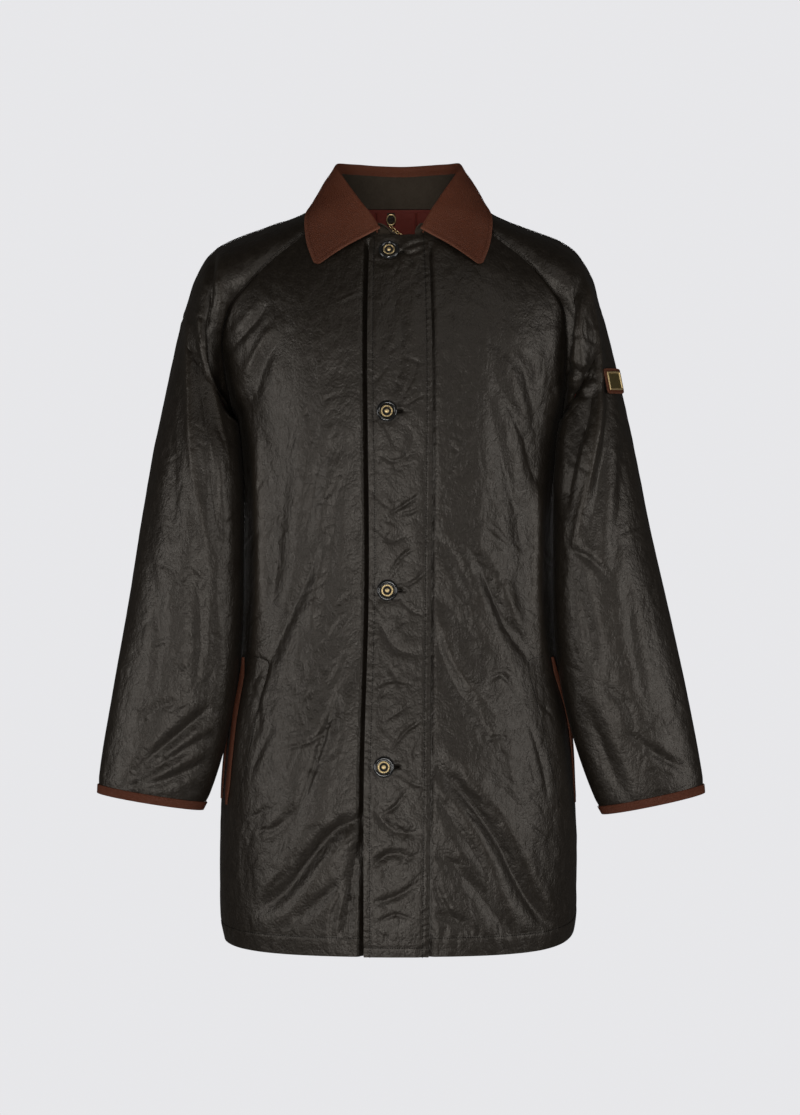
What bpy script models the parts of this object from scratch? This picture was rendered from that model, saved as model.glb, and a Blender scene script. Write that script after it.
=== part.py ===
"""Waxed cotton jacket, filled out as worn: raglan sleeves, leather collar, buttoned placket.

Metres, +Z up, the front faces -Y. The origin is the base of the neck, where the shoulders carry it.
Left and right are the wearer's: the left side lies at +X.
"""
import math
from collections import namedtuple

import bmesh
import bpy
import numpy as np
from mathutils import Vector


class Table:
    """Rows of sizes with named columns."""

    def __init__(self, columns, rows):
        self.row_type = namedtuple("Row", columns)
        self.rows = [self.row_type(*row) for row in rows]

    def at(self, value):
        """The row on a smooth curve through the table, at a value of its first column."""
        rows = np.array(self.rows, dtype=float)
        keys = rows[:, 0]
        value = min(max(value, keys[0]), keys[-1])
        low = min(max(int(np.searchsorted(keys, value)) - 1, 0), len(keys) - 2)
        slopes = np.gradient(rows, keys, axis=0)
        span = keys[low + 1] - keys[low]
        t = (value - keys[low]) / span
        start = rows[low] * (2 * t**3 - 3 * t**2 + 1) + slopes[low] * span * (t**3 - 2 * t**2 + t)
        end = rows[low + 1] * (3 * t**2 - 2 * t**3) + slopes[low + 1] * span * (t**3 - t**2)
        return self.row_type(*(start + end))


# Walls and seams
CLOTH = 0.0020            # waxed cotton with its backing
STAND_CLOTH = 0.0015
LINING_CLOTH = 0.0012
LEATHER = 0.0017
SEAM_PULL = 0.00026       # each panel stops this far short of the seam line
LAID_GAP = 0.0004         # between a panel and what lies on it

# Body: level sections of the shell, squared ellipses with their own front and back depth
ROUNDING = 2.4            # exponent of the squared ellipse, 2 would be a plain one
TORSO = Table("z half_width front back", (
    (-0.860, 0.2030, 0.148, 0.134),
    (-0.835, 0.2080, 0.150, 0.136),
    (-0.790, 0.2095, 0.150, 0.136),
    (-0.700, 0.2085, 0.149, 0.135),
    (-0.636, 0.2040, 0.146, 0.133),
    (-0.596, 0.1995, 0.143, 0.131),
    (-0.531, 0.1880, 0.137, 0.127),
    (-0.468, 0.1845, 0.133, 0.124),
    (-0.317, 0.1860, 0.135, 0.126),
    (-0.245, 0.1930, 0.136, 0.127),
    (-0.190, 0.2100, 0.132, 0.127),
    (-0.145, 0.2220, 0.126, 0.125),
    (-0.090, 0.2150, 0.112, 0.117),
    (-0.045, 0.1700, 0.092, 0.098),
    (-0.010, 0.1300, 0.068, 0.078),
    (0.012, 0.1100, 0.055, 0.068),
))
HEM_Z = -0.860
HEM_RISE = {-1: 0.006, 1: 0.020}  # of the hem at the right and the left side seam
HEM_CURVE = 4.0           # the higher, the closer to the seams the hem rises
ARMPIT_Z = -0.245
FRONT_NECK_Z = -0.045     # neckline at the centre front
BACK_NECK_Z = 0.010       # neckline at the centre back
NECK_CURVE = 0.6          # how far the neckline hangs below a straight run
FRONT_MEET_X = 0.026      # the two fronts meet here, under the placket
BODY_MIDDLE = (0.0, 0.0, -0.4)

# Raglan seams from the neck (0) to the armpit (1); y follows from the body's surface.
# The left seam lies further in
RAGLAN_FRONT = Table("along x z left_in", (
    (0.00, 0.0820, -0.0100, 0.000),
    (0.13, 0.1075, -0.0345, 0.000),
    (0.30, 0.1460, -0.0660, 0.000),
    (0.44, 0.1740, -0.0960, 0.002),
    (0.56, 0.1950, -0.1220, 0.006),
    (0.66, 0.2035, -0.1500, 0.011),
    (0.84, 0.2010, -0.2000, 0.008),
    (1.00, 0.1930, -0.2450, 0.000),
))
RAGLAN_BACK = Table("along x z left_in", (
    (0.00, 0.0700, 0.0100, 0.000),
    (0.15, 0.1000, -0.0200, 0.000),
    (0.32, 0.1350, -0.0550, 0.000),
    (0.46, 0.1650, -0.0900, 0.002),
    (0.58, 0.1860, -0.1220, 0.005),
    (0.70, 0.1980, -0.1550, 0.008),
    (0.85, 0.2000, -0.2000, 0.006),
    (1.00, 0.1930, -0.2450, 0.000),
))

# Sleeve sections: 0 neck, 1 armpit, 2 cuff. The top is the overarm seam, turn is the angle from it to the
# lower seam, bulge is the depth of the front and back halves, and the left overarm seam lies further in
SLEEVE = Table("along top_x top_y top_z turn front_bulge back_bulge left_in", (
    (0.00, 0.0880, 0.000, 0.0120, 90.0, 0.056, 0.057, 0.000),
    (0.08, 0.1040, 0.000, 0.0000, 91.0, 0.064, 0.066, 0.001),
    (0.32, 0.1590, 0.000, -0.0220, 99.0, 0.077, 0.080, 0.006),
    (0.51, 0.2015, 0.000, -0.0380, 113.0, 0.084, 0.087, 0.009),
    (0.60, 0.2190, 0.000, -0.0500, 122.0, 0.085, 0.088, 0.010),
    (0.74, 0.2385, 0.000, -0.0800, 139.0, 0.084, 0.086, 0.011),
    (0.87, 0.2490, 0.000, -0.1110, 158.0, 0.080, 0.080, 0.012),
    (1.00, 0.2580, 0.000, -0.1410, 180.0, 0.076, 0.074, 0.012),
    (1.12, 0.2715, -0.006, -0.2040, 180.0, 0.071, 0.068, 0.011),
    (1.29, 0.2895, -0.018, -0.2970, 180.0, 0.065, 0.062, 0.010),
    (1.43, 0.3015, -0.028, -0.3750, 180.0, 0.059, 0.057, 0.007),
    (1.57, 0.3130, -0.036, -0.4500, 180.0, 0.054, 0.052, 0.002),
    (1.77, 0.3320, -0.044, -0.5610, 180.0, 0.046, 0.044, -0.003),
    (1.94, 0.3465, -0.050, -0.6500, 180.0, 0.038, 0.036, -0.005),
    (2.00, 0.3500, -0.052, -0.6800, 180.0, 0.036, 0.034, -0.006),
))
UNDERARM = Table("along x y z left_out left_down", (
    (1.00, 0.1930, 0.000, -0.2450, 0.0000, 0.000),
    (1.06, 0.1914, -0.020, -0.2720, 0.0000, 0.000),
    (1.12, 0.1852, -0.040, -0.3000, 0.0000, 0.000),
    (1.29, 0.1797, -0.050, -0.3600, 0.0000, 0.000),
    (1.43, 0.1784, -0.054, -0.4300, 0.0000, 0.000),
    (1.57, 0.1794, -0.056, -0.4950, 0.0000, 0.000),
    (1.77, 0.1915, -0.058, -0.5900, 0.0030, 0.001),
    (1.94, 0.2145, -0.057, -0.6720, 0.0080, 0.004),
    (2.00, 0.2255, -0.057, -0.7000, 0.0095, 0.005),
))

# Collar sections of one half, from its front end (0) to the centre back (1); the last row mirrors
# one before it, so the two halves run smoothly into each other
COLLAR = Table("along roll_x roll_y roll_z edge_x edge_y edge_z", (
    (0.00, 0.0245, -0.100, -0.0330, 0.0952, -0.1035, -0.0750),
    (0.12, 0.0370, -0.078, -0.0120, 0.1050, -0.0880, -0.0480),
    (0.25, 0.0500, -0.055, 0.0080, 0.1085, -0.0690, -0.0180),
    (0.40, 0.0680, -0.018, 0.0380, 0.1040, -0.0350, 0.0005),
    (0.60, 0.0745, 0.024, 0.0560, 0.0960, 0.0220, 0.0100),
    (0.80, 0.0550, 0.058, 0.0600, 0.0730, 0.0660, 0.0090),
    (1.00, 0.0000, 0.076, 0.0590, 0.0000, 0.0860, -0.0030),
    (1.20, -0.0550, 0.058, 0.0600, -0.0730, 0.0660, 0.0090),
))
COLLAR_LEFT_OUT = 0.0042  # the roll's left end lies this much further out
COLLAR_LEFT_RUN = 0.30    # share of the collar over which it comes back in
COLLAR_INSIDE = 0.0095    # the leather runs this far down inside the roll
COLLAR_INSIDE_END = 0.3   # and this share of it at the front end
COLLAR_INSIDE_RUN = 0.20  # share of the collar over which it widens
COLLAR_PADDING = 0.0050   # between the leather outside and inside the roll
COLLAR_CREST = 0.0010     # the roll stands this far above a straight turn
COLLAR_BULGE = 0.0030     # the fall stands out between roll and edge
COLLAR_BULGE_RISE = 0.06  # upward lean of that bulge, against its reach from the neck
COLLAR_PLACES = (0.0, 0.55, 1.0, 1.12, 1.4, 1.7, 2.0)   # 0 inside seam, 1 roll, 2 outer edge
COLLAR_FOLD_DEPTH = 0.006
COLLAR_END_X = 0.036      # the stand starts at the first neckline point past this
COLLAR_STAND_START = 0.08  # and there reaches the roll this far along the collar
STAND_DROP = 0.0008       # the stand ends this far below the leather inside the roll

# Placket: its two edges from the hem up, and the rounding of its top corners
PLACKET = Table("z right_x left_x", (
    (-0.860, -0.0390, 0.0340),
    (-0.645, -0.0385, 0.0358),
    (-0.460, -0.0335, 0.0368),
    (-0.100, -0.0345, 0.0365),
    (-0.040, -0.0330, 0.0340),
))
PLACKET_TOP = Table("share drop", (
    (0.0, 0.0060),
    (0.1, 0.0014),
    (0.5, 0.0000),
    (0.9, 0.0014),
    (1.0, 0.0060),
))
PLACKET_TOP_ROW = 0.003   # the row below the top one sits this much under the neckline

# Buttons, and the turned profiles of rim and middle
BUTTONS = Table("x z", (
    (-0.0108, -0.0595),
    (-0.0130, -0.2436),
    (-0.0125, -0.4464),
    (-0.0164, -0.6458),
))
BUTTON_RIM = Table("radius height", (
    (0.0090, 0.0000),
    (0.0116, 0.0014),
    (0.0119, 0.0032),
    (0.0107, 0.0050),
    (0.0091, 0.0050),
    (0.0080, 0.0036),
))
BUTTON_MIDDLE = Table("radius height", (
    (0.0072, 0.0040),
    (0.0074, 0.0048),
    (0.0062, 0.0053),
))

# Pocket lips: strips at an angle round the body, 0 is the side seam and 90 the centre front
POCKET_LIPS = Table("side name top_angle bottom_angle bow top_z bottom_z", (
    ("left", "front", 22.0, 7.5, -5.0, -0.525, -0.695),
    ("left", "back", 12.0, 2.8, -3.5, -0.523, -0.690),
    ("right", "front", 20.5, 19.5, 1.0, -0.525, -0.695),
    ("right", "back", 9.0, 10.0, 0.0, -0.523, -0.690),
))
POCKET_LIP_WIDTH = 0.011
POCKET_GAP = 0.0006       # between a lip and the front, whose facets cut the curve
POCKET_MIDDLE = (0.0, 0.0, -0.6)

# Badge on the left sleeve: its middle along the sleeve and round it from the overarm seam
BADGE_ALONG = 1.095
BADGE_TURN = 46.0
BADGE_WIDTH = 0.034
BADGE_HEIGHT = 0.029
BADGE_SHARES = (-0.5, -0.17, 0.17, 0.5)
BADGE_PLATE_INSET = 0.0035
BADGE_PLATE_THICK = 0.0012

# Cuff bindings, outside and inside the sleeve's end
BINDING_HEIGHT = 0.0085
BINDING_INSIDE = 0.0065

# Neck lining, and the chain inside it that hangs the jacket up
LINING_HALF_WIDTH = 0.066
LINING_START = 0.003      # below the neck seam
LINING_DEPTH = 0.085
LINING_SINK = CLOTH + 2.0 * LAID_GAP
NECK_MIDDLE = (0.0, 0.0, -0.05)
HANGERS = Table("name x z", (
    ("right", -0.0090, 0.0000),
    ("left", 0.0500, 0.0000),
))
TAB_WIDTH = 0.009
TAB_HEIGHT = 0.014
TAB_THICK = 0.0010
RING_RADIUS = 0.0052
RING_STRETCH = 1.25       # the rings are taller than wide
RING_WIRE = 0.0008
CHAIN_SAG = 0.016
CHAIN_RADIUS = 0.0010

# Largest folds, placed as seen from the front: from start to end through a middle, depth inward, half width
FOLD_COLUMNS = "start_x start_z mid_x mid_z end_x end_z depth half_width"
FRONT_FOLDS = Table(FOLD_COLUMNS, (
    (-0.090, -0.300, -0.108, -0.400, -0.146, -0.520, 0.008, 0.020),
    (-0.175, -0.240, -0.150, -0.195, -0.128, -0.130, 0.007, 0.017),
    (-0.055, -0.540, -0.095, -0.640, -0.150, -0.742, 0.009, 0.021),
    (-0.045, -0.720, -0.100, -0.745, -0.155, -0.810, 0.007, 0.022),
    (0.117, -0.165, 0.152, -0.240, 0.165, -0.330, 0.008, 0.018),
    (0.088, -0.408, 0.122, -0.470, 0.150, -0.520, 0.007, 0.018),
    (0.044, -0.490, 0.066, -0.545, 0.100, -0.605, 0.007, 0.019),
    (0.082, -0.670, 0.125, -0.740, 0.166, -0.820, 0.010, 0.023),
    (0.048, -0.745, 0.090, -0.775, 0.130, -0.830, 0.006, 0.018),
))
BACK_FOLDS = Table(FOLD_COLUMNS, (
    (-0.160, -0.210, -0.120, -0.290, -0.095, -0.380, 0.007, 0.020),
    (0.165, -0.215, 0.125, -0.300, 0.105, -0.400, 0.007, 0.020),
    (-0.060, -0.400, -0.095, -0.520, -0.140, -0.620, 0.008, 0.023),
    (0.050, -0.430, 0.080, -0.550, 0.135, -0.650, 0.008, 0.023),
    (-0.030, -0.600, -0.060, -0.700, -0.115, -0.800, 0.007, 0.022),
    (0.020, -0.620, 0.050, -0.730, 0.100, -0.830, 0.008, 0.022),
))
SLEEVE_FOLDS = Table(FOLD_COLUMNS, (
    (0.205, -0.545, 0.255, -0.565, 0.300, -0.552, 0.007, 0.014),
    (0.232, -0.600, 0.270, -0.628, 0.318, -0.660, 0.006, 0.013),
    (0.225, -0.215, 0.236, -0.280, 0.240, -0.365, 0.006, 0.016),
    (0.240, -0.440, 0.275, -0.455, 0.300, -0.440, 0.005, 0.014),
))
FOLD_SAMPLES = 9
FOLD_END = 0.1            # share of a half wave by which a fold's ends stay open
SEAM_FADE = 0.16          # share of a panel beside a sewn edge where folds die away

# Facets
LOW_ROWS = 20             # hem to armpit
RAGLAN_ROWS = 9           # armpit to neck
FRONT_COLUMNS = 11
BACK_COLUMNS = 16
SLEEVE_COLUMNS = 7
ARM_ROWS = 17
COLLAR_STEPS = 13         # sections in half the collar
POCKET_ROWS = 14
LINING_ROWS = 5
ROUND_STEPS = 20
RING_STEPS = 16
WIRE_STEPS = 6
CHAIN_STEPS = 10
SHARP_ANGLE = 35.0
SLOPE_STEP = 0.002        # step for slopes of the body's surface
SLEEVE_STEP = 0.01        # step for slopes of the sleeve's surface
SAME_POINT = 6            # decimals at which two panels' points are one

# Finishes
Finish = namedtuple("Finish", "colour roughness metallic")
FINISHES = {
    "waxed_cotton": Finish((0.022, 0.018, 0.015), 0.42, 0.0),
    "collar_leather": Finish((0.105, 0.030, 0.016), 0.55, 0.0),
    "lining_cloth": Finish((0.060, 0.013, 0.013), 0.60, 0.0),
    "button_black": Finish((0.010, 0.010, 0.010), 0.18, 0.0),
    "brass": Finish((0.560, 0.380, 0.140), 0.28, 1.0),
}
SIDES = (("left", 1), ("right", -1))
HALVES = (("front", False), ("back", True))


def clear_scene():
    """Remove what the scene holds."""
    for item in list(bpy.data.objects):
        bpy.data.objects.remove(item, do_unlink=True)


def finish_material(name):
    """The Principled material of a named finish."""
    material = bpy.data.materials.get(name)
    if material:
        return material
    finish = FINISHES[name]
    material = bpy.data.materials.new(name)
    material.use_nodes = True
    shader = material.node_tree.nodes["Principled BSDF"]
    shader.inputs["Base Color"].default_value = (*finish.colour, 1.0)
    shader.inputs["Roughness"].default_value = finish.roughness
    shader.inputs["Metallic"].default_value = finish.metallic
    material.diffuse_color = (*finish.colour, 1.0)
    return material


def unit(vectors):
    """Vectors of length one."""
    return vectors / np.linalg.norm(vectors, axis=-1, keepdims=True)


def smooth_step(value):
    """Ease from 0 to 1."""
    value = min(max(value, 0.0), 1.0)
    return value * value * (3.0 - 2.0 * value)


def mirrored(grid, side):
    """The grid on the wearer's left (+1) or turned over to the right (-1)."""
    return grid * np.array((side, 1.0, 1.0))


# The body's surface

def body_angle(x, z):
    """Angle round the body of a place: a right angle at the centre line, 0 at the +X side."""
    share = min(abs(x) / TORSO.at(z).half_width, 1.0)
    return math.acos(math.copysign(share ** (ROUNDING / 2.0), x))


def body_point(angle, z, behind):
    """Point on the body's outer surface at an angle from the side, on the front or the back half."""
    section = TORSO.at(z)
    across = math.copysign(abs(math.cos(angle)) ** (2.0 / ROUNDING), math.cos(angle))
    depth = abs(math.sin(angle)) ** (2.0 / ROUNDING)
    y = section.back * depth if behind else -section.front * depth
    return np.array((section.half_width * across, y, z))


def body_lift(x, z, lift, behind):
    """Point a distance outside the unfolded body, and the normal there."""

    def place(across, height):
        return body_point(body_angle(across, height), height, behind)

    right = place(x + SLOPE_STEP, z) - place(x - SLOPE_STEP, z)
    up = place(x, z + SLOPE_STEP) - place(x, z - SLOPE_STEP)
    normal = unit(np.cross(up, right) if behind else np.cross(right, up))
    return place(x, z) + normal * lift, normal


def seam_point(along, behind, side):
    """Point on a raglan seam, brought over to +X."""
    seam = (RAGLAN_BACK if behind else RAGLAN_FRONT).at(along)
    x = seam.x - seam.left_in if side > 0 else seam.x
    return body_point(body_angle(x, seam.z), seam.z, behind)


def panel_rows(side, columns, behind, centre_angle, neck_z):
    """Grid of one body half, hem to neckline, from the centre line to the side and raglan seam."""
    rows = []
    for row in range(LOW_ROWS + RAGLAN_ROWS + 1):
        if row <= LOW_ROWS:
            curve = HEM_CURVE
            centre_z = HEM_Z + (ARMPIT_Z - HEM_Z) * row / LOW_ROWS
            sewn = body_point(0.0, centre_z + HEM_RISE[side] * (1.0 - row / LOW_ROWS), behind)
        else:
            upward = (row - LOW_ROWS) / RAGLAN_ROWS
            curve = 1.0 + NECK_CURVE * upward
            centre_z = ARMPIT_Z + (neck_z - ARMPIT_Z) * upward
            sewn = seam_point(1.0 - upward, behind, side)
        sewn_angle = body_angle(sewn[0], sewn[2])
        first_angle = centre_angle(centre_z)
        line = []
        for column in range(columns):
            share = column / columns
            z = centre_z + (sewn[2] - centre_z) * share ** curve
            line.append(body_point(first_angle + (sewn_angle - first_angle) * share, z, behind))
        rows.append(line + [sewn])
    return mirrored(np.array(rows), side)


def front_grid(side):
    """One front, from its edge under the placket to its seams."""
    edge_x = FRONT_MEET_X * side
    return panel_rows(side, FRONT_COLUMNS, False, lambda z: body_angle(edge_x, z), FRONT_NECK_Z)


def back_grid():
    """The whole back, from the right seams to the left ones."""
    right, left = (panel_rows(side, BACK_COLUMNS // 2, True, lambda z: math.pi / 2.0, BACK_NECK_Z)
                   for side in (-1, 1))
    return np.concatenate((right[:, :0:-1], left), axis=1)


# The sleeves' surface

def sleeve_section(along, behind, side):
    """Middle, reach to the overarm seam, bulge, turn and lower seam of a section, brought over to +X."""
    section = SLEEVE.at(along)
    top_x = section.top_x - section.left_in if side > 0 else section.top_x
    top = np.array((top_x, section.top_y, section.top_z))
    under = UNDERARM.at(along)
    low = np.array((under.x, under.y, under.z))
    if side > 0:
        low += np.array((under.left_out, 0.0, -under.left_down))
    if along <= 1.0:
        low = seam_point(along, behind, side)
    turn = math.radians(section.turn)
    bulge = np.array((0.0, section.back_bulge if behind else -section.front_bulge, 0.0))
    reach = (top - low + bulge * math.sin(turn)) / (1.0 - math.cos(turn))
    return top - reach, reach, bulge, turn, low


def sleeve_point(along, turn_share, behind, side):
    """Point on a sleeve's outer surface, brought over to +X."""
    middle, reach, bulge, turn, low = sleeve_section(along, behind, side)
    if turn_share == 1.0:
        return low
    angle = turn * turn_share
    return middle + reach * math.cos(angle) + bulge * math.sin(angle)


def sleeve_grid(side, behind):
    """One half of a sleeve, neck to cuff, from the overarm seam to the raglan and underarm seam."""
    steps = [row / RAGLAN_ROWS for row in range(RAGLAN_ROWS)]
    steps += [1.0 + row / ARM_ROWS for row in range(ARM_ROWS + 1)]
    shares = [column / SLEEVE_COLUMNS for column in range(SLEEVE_COLUMNS + 1)]
    grid = [[sleeve_point(along, share, behind, side) for share in shares] for along in steps]
    return mirrored(np.array(grid), side)


# Walls on grids of points

def grid_normals(grid, middle):
    """Unit normals of a grid that point away from its middle."""
    normals = unit(np.cross(np.gradient(grid, axis=1), np.gradient(grid, axis=0)))
    outward = np.sum(normals * (grid - np.array(middle)))
    return normals if outward > 0 else -normals


def fold_depth(folds, x, z):
    """How far the folds sink the cloth at a place seen from the front."""
    total = 0.0
    for fold in folds.rows:
        nearest = None
        for step in range(FOLD_SAMPLES):
            t = step / (FOLD_SAMPLES - 1)
            fold_x = (1 - t) ** 2 * fold.start_x + 2 * t * (1 - t) * fold.mid_x + t * t * fold.end_x
            fold_z = (1 - t) ** 2 * fold.start_z + 2 * t * (1 - t) * fold.mid_z + t * t * fold.end_z
            distance = math.hypot(x - fold_x, z - fold_z)
            if nearest is None or distance < nearest[0]:
                nearest = (distance, t)
        distance, t = nearest
        taper = math.sin(math.pi * (FOLD_END + (1.0 - 2.0 * FOLD_END) * t))
        total += fold.depth * taper * math.exp(-(distance / fold.half_width) ** 2)
    return total


def add_folds(panel, folds, flip_x, sewn_start):
    """Sink a panel along its folds, which die away beside its sewn edges."""
    grid = panel["grid"]
    normals = grid_normals(grid, panel["middle"])
    rows, columns = grid.shape[:2]
    for column in range(columns):
        share = column / (columns - 1)
        fade = smooth_step((1.0 - share) / SEAM_FADE)
        if sewn_start:
            fade *= smooth_step(share / SEAM_FADE)
        for row in range(rows):
            x, y, z = grid[row, column]
            grid[row, column] -= normals[row, column] * fold_depth(folds, x * flip_x, z) * fade
    panel["normals"] = grid_normals(grid, panel["middle"])


def share_normals(panels):
    """Give points where panels meet one common normal, so their walls are mitred."""
    sums = {}
    for panel in panels:
        panel["keys"] = [tuple(np.round(point, SAME_POINT)) for point in panel["grid"].reshape(-1, 3)]
        for key, normal in zip(panel["keys"], panel["normals"].reshape(-1, 3)):
            sums[key] = sums.get(key, np.zeros(3)) + normal
    for panel in panels:
        common = np.array([sums[key] for key in panel["keys"]])
        panel["normals"] = unit(common).reshape(panel["grid"].shape)


def pulled_back(grid):
    """The grid with its border moved in, clear of the seam lines."""
    result = grid.copy()
    result[0] += unit(grid[1] - grid[0]) * SEAM_PULL
    result[-1] += unit(grid[-2] - grid[-1]) * SEAM_PULL
    result[:, 0] += unit(grid[:, 1] - grid[:, 0]) * SEAM_PULL
    result[:, -1] += unit(grid[:, -2] - grid[:, -1]) * SEAM_PULL
    return result


def link_object(name, data, finish):
    """A named object with its finish."""
    data.materials.append(finish_material(finish))
    item = bpy.data.objects.new(name, data)
    bpy.context.scene.collection.objects.link(item)


def add_body(name, points, faces, finish):
    """An object of one closed body with its faces pointing out."""
    mesh = bpy.data.meshes.new(name)
    mesh.from_pydata([tuple(point) for point in points], [], faces)
    shape = bmesh.new()
    shape.from_mesh(mesh)
    bmesh.ops.recalc_face_normals(shape, faces=shape.faces)
    shape.to_mesh(mesh)
    shape.free()
    mesh.shade_smooth()
    mesh.set_sharp_from_angle(angle=math.radians(SHARP_ANGLE))
    link_object(name, mesh, finish)


def add_wall(name, grid, normals, lift, thickness, finish):
    """A wall on a grid: its outer face lies lift above the grid, its inner face a thickness below that."""
    rows, columns = grid.shape[:2]
    count = rows * columns
    outer = grid + normals * lift
    inner = outer - normals * thickness
    points = np.concatenate((outer.reshape(-1, 3), inner.reshape(-1, 3)))

    def at(row, column):
        return row * columns + column

    faces = []
    for row in range(rows - 1):
        for column in range(columns - 1):
            quad = (at(row, column), at(row, column + 1), at(row + 1, column + 1), at(row + 1, column))
            faces.append(quad)
            faces.append(tuple(corner + count for corner in reversed(quad)))
    border = [at(0, column) for column in range(columns)]
    border += [at(row, columns - 1) for row in range(1, rows)]
    border += [at(rows - 1, column) for column in range(columns - 2, -1, -1)]
    border += [at(row, 0) for row in range(rows - 2, 0, -1)]
    for first, second in zip(border, border[1:] + border[:1]):
        faces.append((second, first, first + count, second + count))
    add_body(name, points, faces, finish)


def add_swept(name, rings, finish):
    """A closed ring swept through a row of equal sections, the last one joined to the first."""
    sides = len(rings[0])
    faces = []
    for step in range(len(rings)):
        here = step * sides
        there = (step + 1) % len(rings) * sides
        for corner in range(sides):
            turn = (corner + 1) % sides
            faces.append((here + corner, here + turn, there + turn, there + corner))
    add_body(name, [point for ring in rings for point in ring], faces, finish)


# Cloth panels

def shell_panels():
    """The cloth panels of body and sleeves, with their folds."""
    panels = {"back": {"grid": back_grid(), "middle": BODY_MIDDLE}}
    add_folds(panels["back"], BACK_FOLDS, 1, True)
    for name, side in SIDES:
        front = {"grid": front_grid(side), "middle": BODY_MIDDLE}
        add_folds(front, FRONT_FOLDS, 1, False)
        panels["front_" + name] = front
        for half, behind in HALVES:
            grid = sleeve_grid(side, behind)
            sleeve = {"grid": grid, "middle": (grid[:, :1] + grid[:, -1:]) / 2.0}
            add_folds(sleeve, SLEEVE_FOLDS, side, True)
            panels["sleeve_%s_%s" % (name, half)] = sleeve
    return panels


def collar_point(along, side, place):
    """Point of the collar: place 0 is its seam inside the roll, 1 the roll, 2 the outer edge."""
    section = COLLAR.at(along)
    roll = np.array(section[1:4])
    if side > 0:
        roll[0] += COLLAR_LEFT_OUT * (1.0 - smooth_step(along / COLLAR_LEFT_RUN))
    edge = np.array(section[4:7])
    if place <= 1.0:
        inward = unit(np.array((-roll[0], -roll[1], 0.0)))
        widening = smooth_step(along / COLLAR_INSIDE_RUN)
        depth = COLLAR_INSIDE * (COLLAR_INSIDE_END + (1.0 - COLLAR_INSIDE_END) * widening)
        inside = roll + inward * COLLAR_PADDING - np.array((0.0, 0.0, depth))
        point = inside + (roll - inside) * place
        if place == 1.0:
            point = point + unit(roll - np.array(NECK_MIDDLE)) * COLLAR_CREST
    else:
        share = place - 1.0
        outward = unit(np.array((edge[0], edge[1], COLLAR_BULGE_RISE)))
        point = roll + (edge - roll) * share + outward * COLLAR_BULGE * math.sin(math.pi * share)
    return mirrored(point, side)


def neckline(panels):
    """Points round the neck seam, from the right front to the left front, without the placket's stretch."""
    top = {name: panel["grid"][0 if name.startswith("sleeve") else -1] for name, panel in panels.items()}
    points = [point for point in top["front_right"] if point[0] < -COLLAR_END_X]
    points += list(top["sleeve_right_front"][-2::-1])
    points += list(top["sleeve_right_back"][1:])
    points += list(top["back"][1:])
    points += list(top["sleeve_left_back"][-2::-1])
    points += list(top["sleeve_left_front"][1:])
    points += [point for point in top["front_left"][-2::-1] if point[0] > COLLAR_END_X]
    return np.array(points)


def stand_panel(panels):
    """The collar stand, from the neck seam up to the leather inside the roll."""
    base = neckline(panels)
    lengths = np.linalg.norm(np.diff(base, axis=0), axis=1)
    shares = np.concatenate(((0.0,), np.cumsum(lengths))) / lengths.sum()
    top = []
    for share in shares:
        along = COLLAR_STAND_START + (1.0 - COLLAR_STAND_START) * 2.0 * min(share, 1.0 - share)
        seam = collar_point(along, -1 if share < 0.5 else 1, 0.0)
        top.append(seam - np.array((0.0, 0.0, STAND_DROP)))
    top = np.array(top)
    grid = np.array((base, (base + top) / 2.0, top))
    return {"grid": grid, "normals": grid_normals(grid, NECK_MIDDLE)}


def add_shell(panels):
    """The cloth panels and the collar stand as walls, mitred where they meet."""
    stand = stand_panel(panels)
    share_normals(list(panels.values()) + [stand])
    for name, panel in panels.items():
        add_wall(name, pulled_back(panel["grid"]), panel["normals"], 0.0, CLOTH, "waxed_cotton")
    add_wall("collar_stand", pulled_back(stand["grid"]), stand["normals"], 0.0, STAND_CLOTH, "waxed_cotton")


def add_collar_fall():
    """The leather of the collar, turned over the roll."""
    half = [step / COLLAR_STEPS for step in range(COLLAR_STEPS + 1)]
    sections = [(along, -1) for along in half] + [(along, 1) for along in reversed(half[:-1])]
    grid = np.array([[collar_point(along, side, place) for along, side in sections]
                     for place in COLLAR_PLACES])
    outside = grid[len(COLLAR_PLACES) // 2 + 1]
    inside_fold = outside - unit(outside * np.array((1.0, 1.0, 0.0))) * COLLAR_FOLD_DEPTH
    normals = grid_normals(grid, inside_fold)
    add_wall("collar_fall", pulled_back(grid), normals, 0.0, LEATHER, "collar_leather")


def add_placket():
    """The buttoned strip over the meeting fronts."""
    heights = [HEM_Z + (ARMPIT_Z - HEM_Z) * row / LOW_ROWS for row in range(LOW_ROWS)]
    heights += [ARMPIT_Z + (FRONT_NECK_Z - ARMPIT_Z) * row / RAGLAN_ROWS for row in range(RAGLAN_ROWS)]
    heights += [FRONT_NECK_Z - PLACKET_TOP_ROW, PLACKET.rows[-1].z]
    grid = []
    normals = []
    for z in heights:
        edges = PLACKET.at(z)
        rounded = z == heights[-1]
        pairs = [body_lift(edges.right_x + (edges.left_x - edges.right_x) * corner.share,
                           z - corner.drop * rounded, 0.0, False) for corner in PLACKET_TOP.rows]
        grid.append([point for point, normal in pairs])
        normals.append([normal for point, normal in pairs])
    add_wall("placket", np.array(grid), np.array(normals), LAID_GAP + CLOTH, CLOTH, "waxed_cotton")


# Trim

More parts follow.
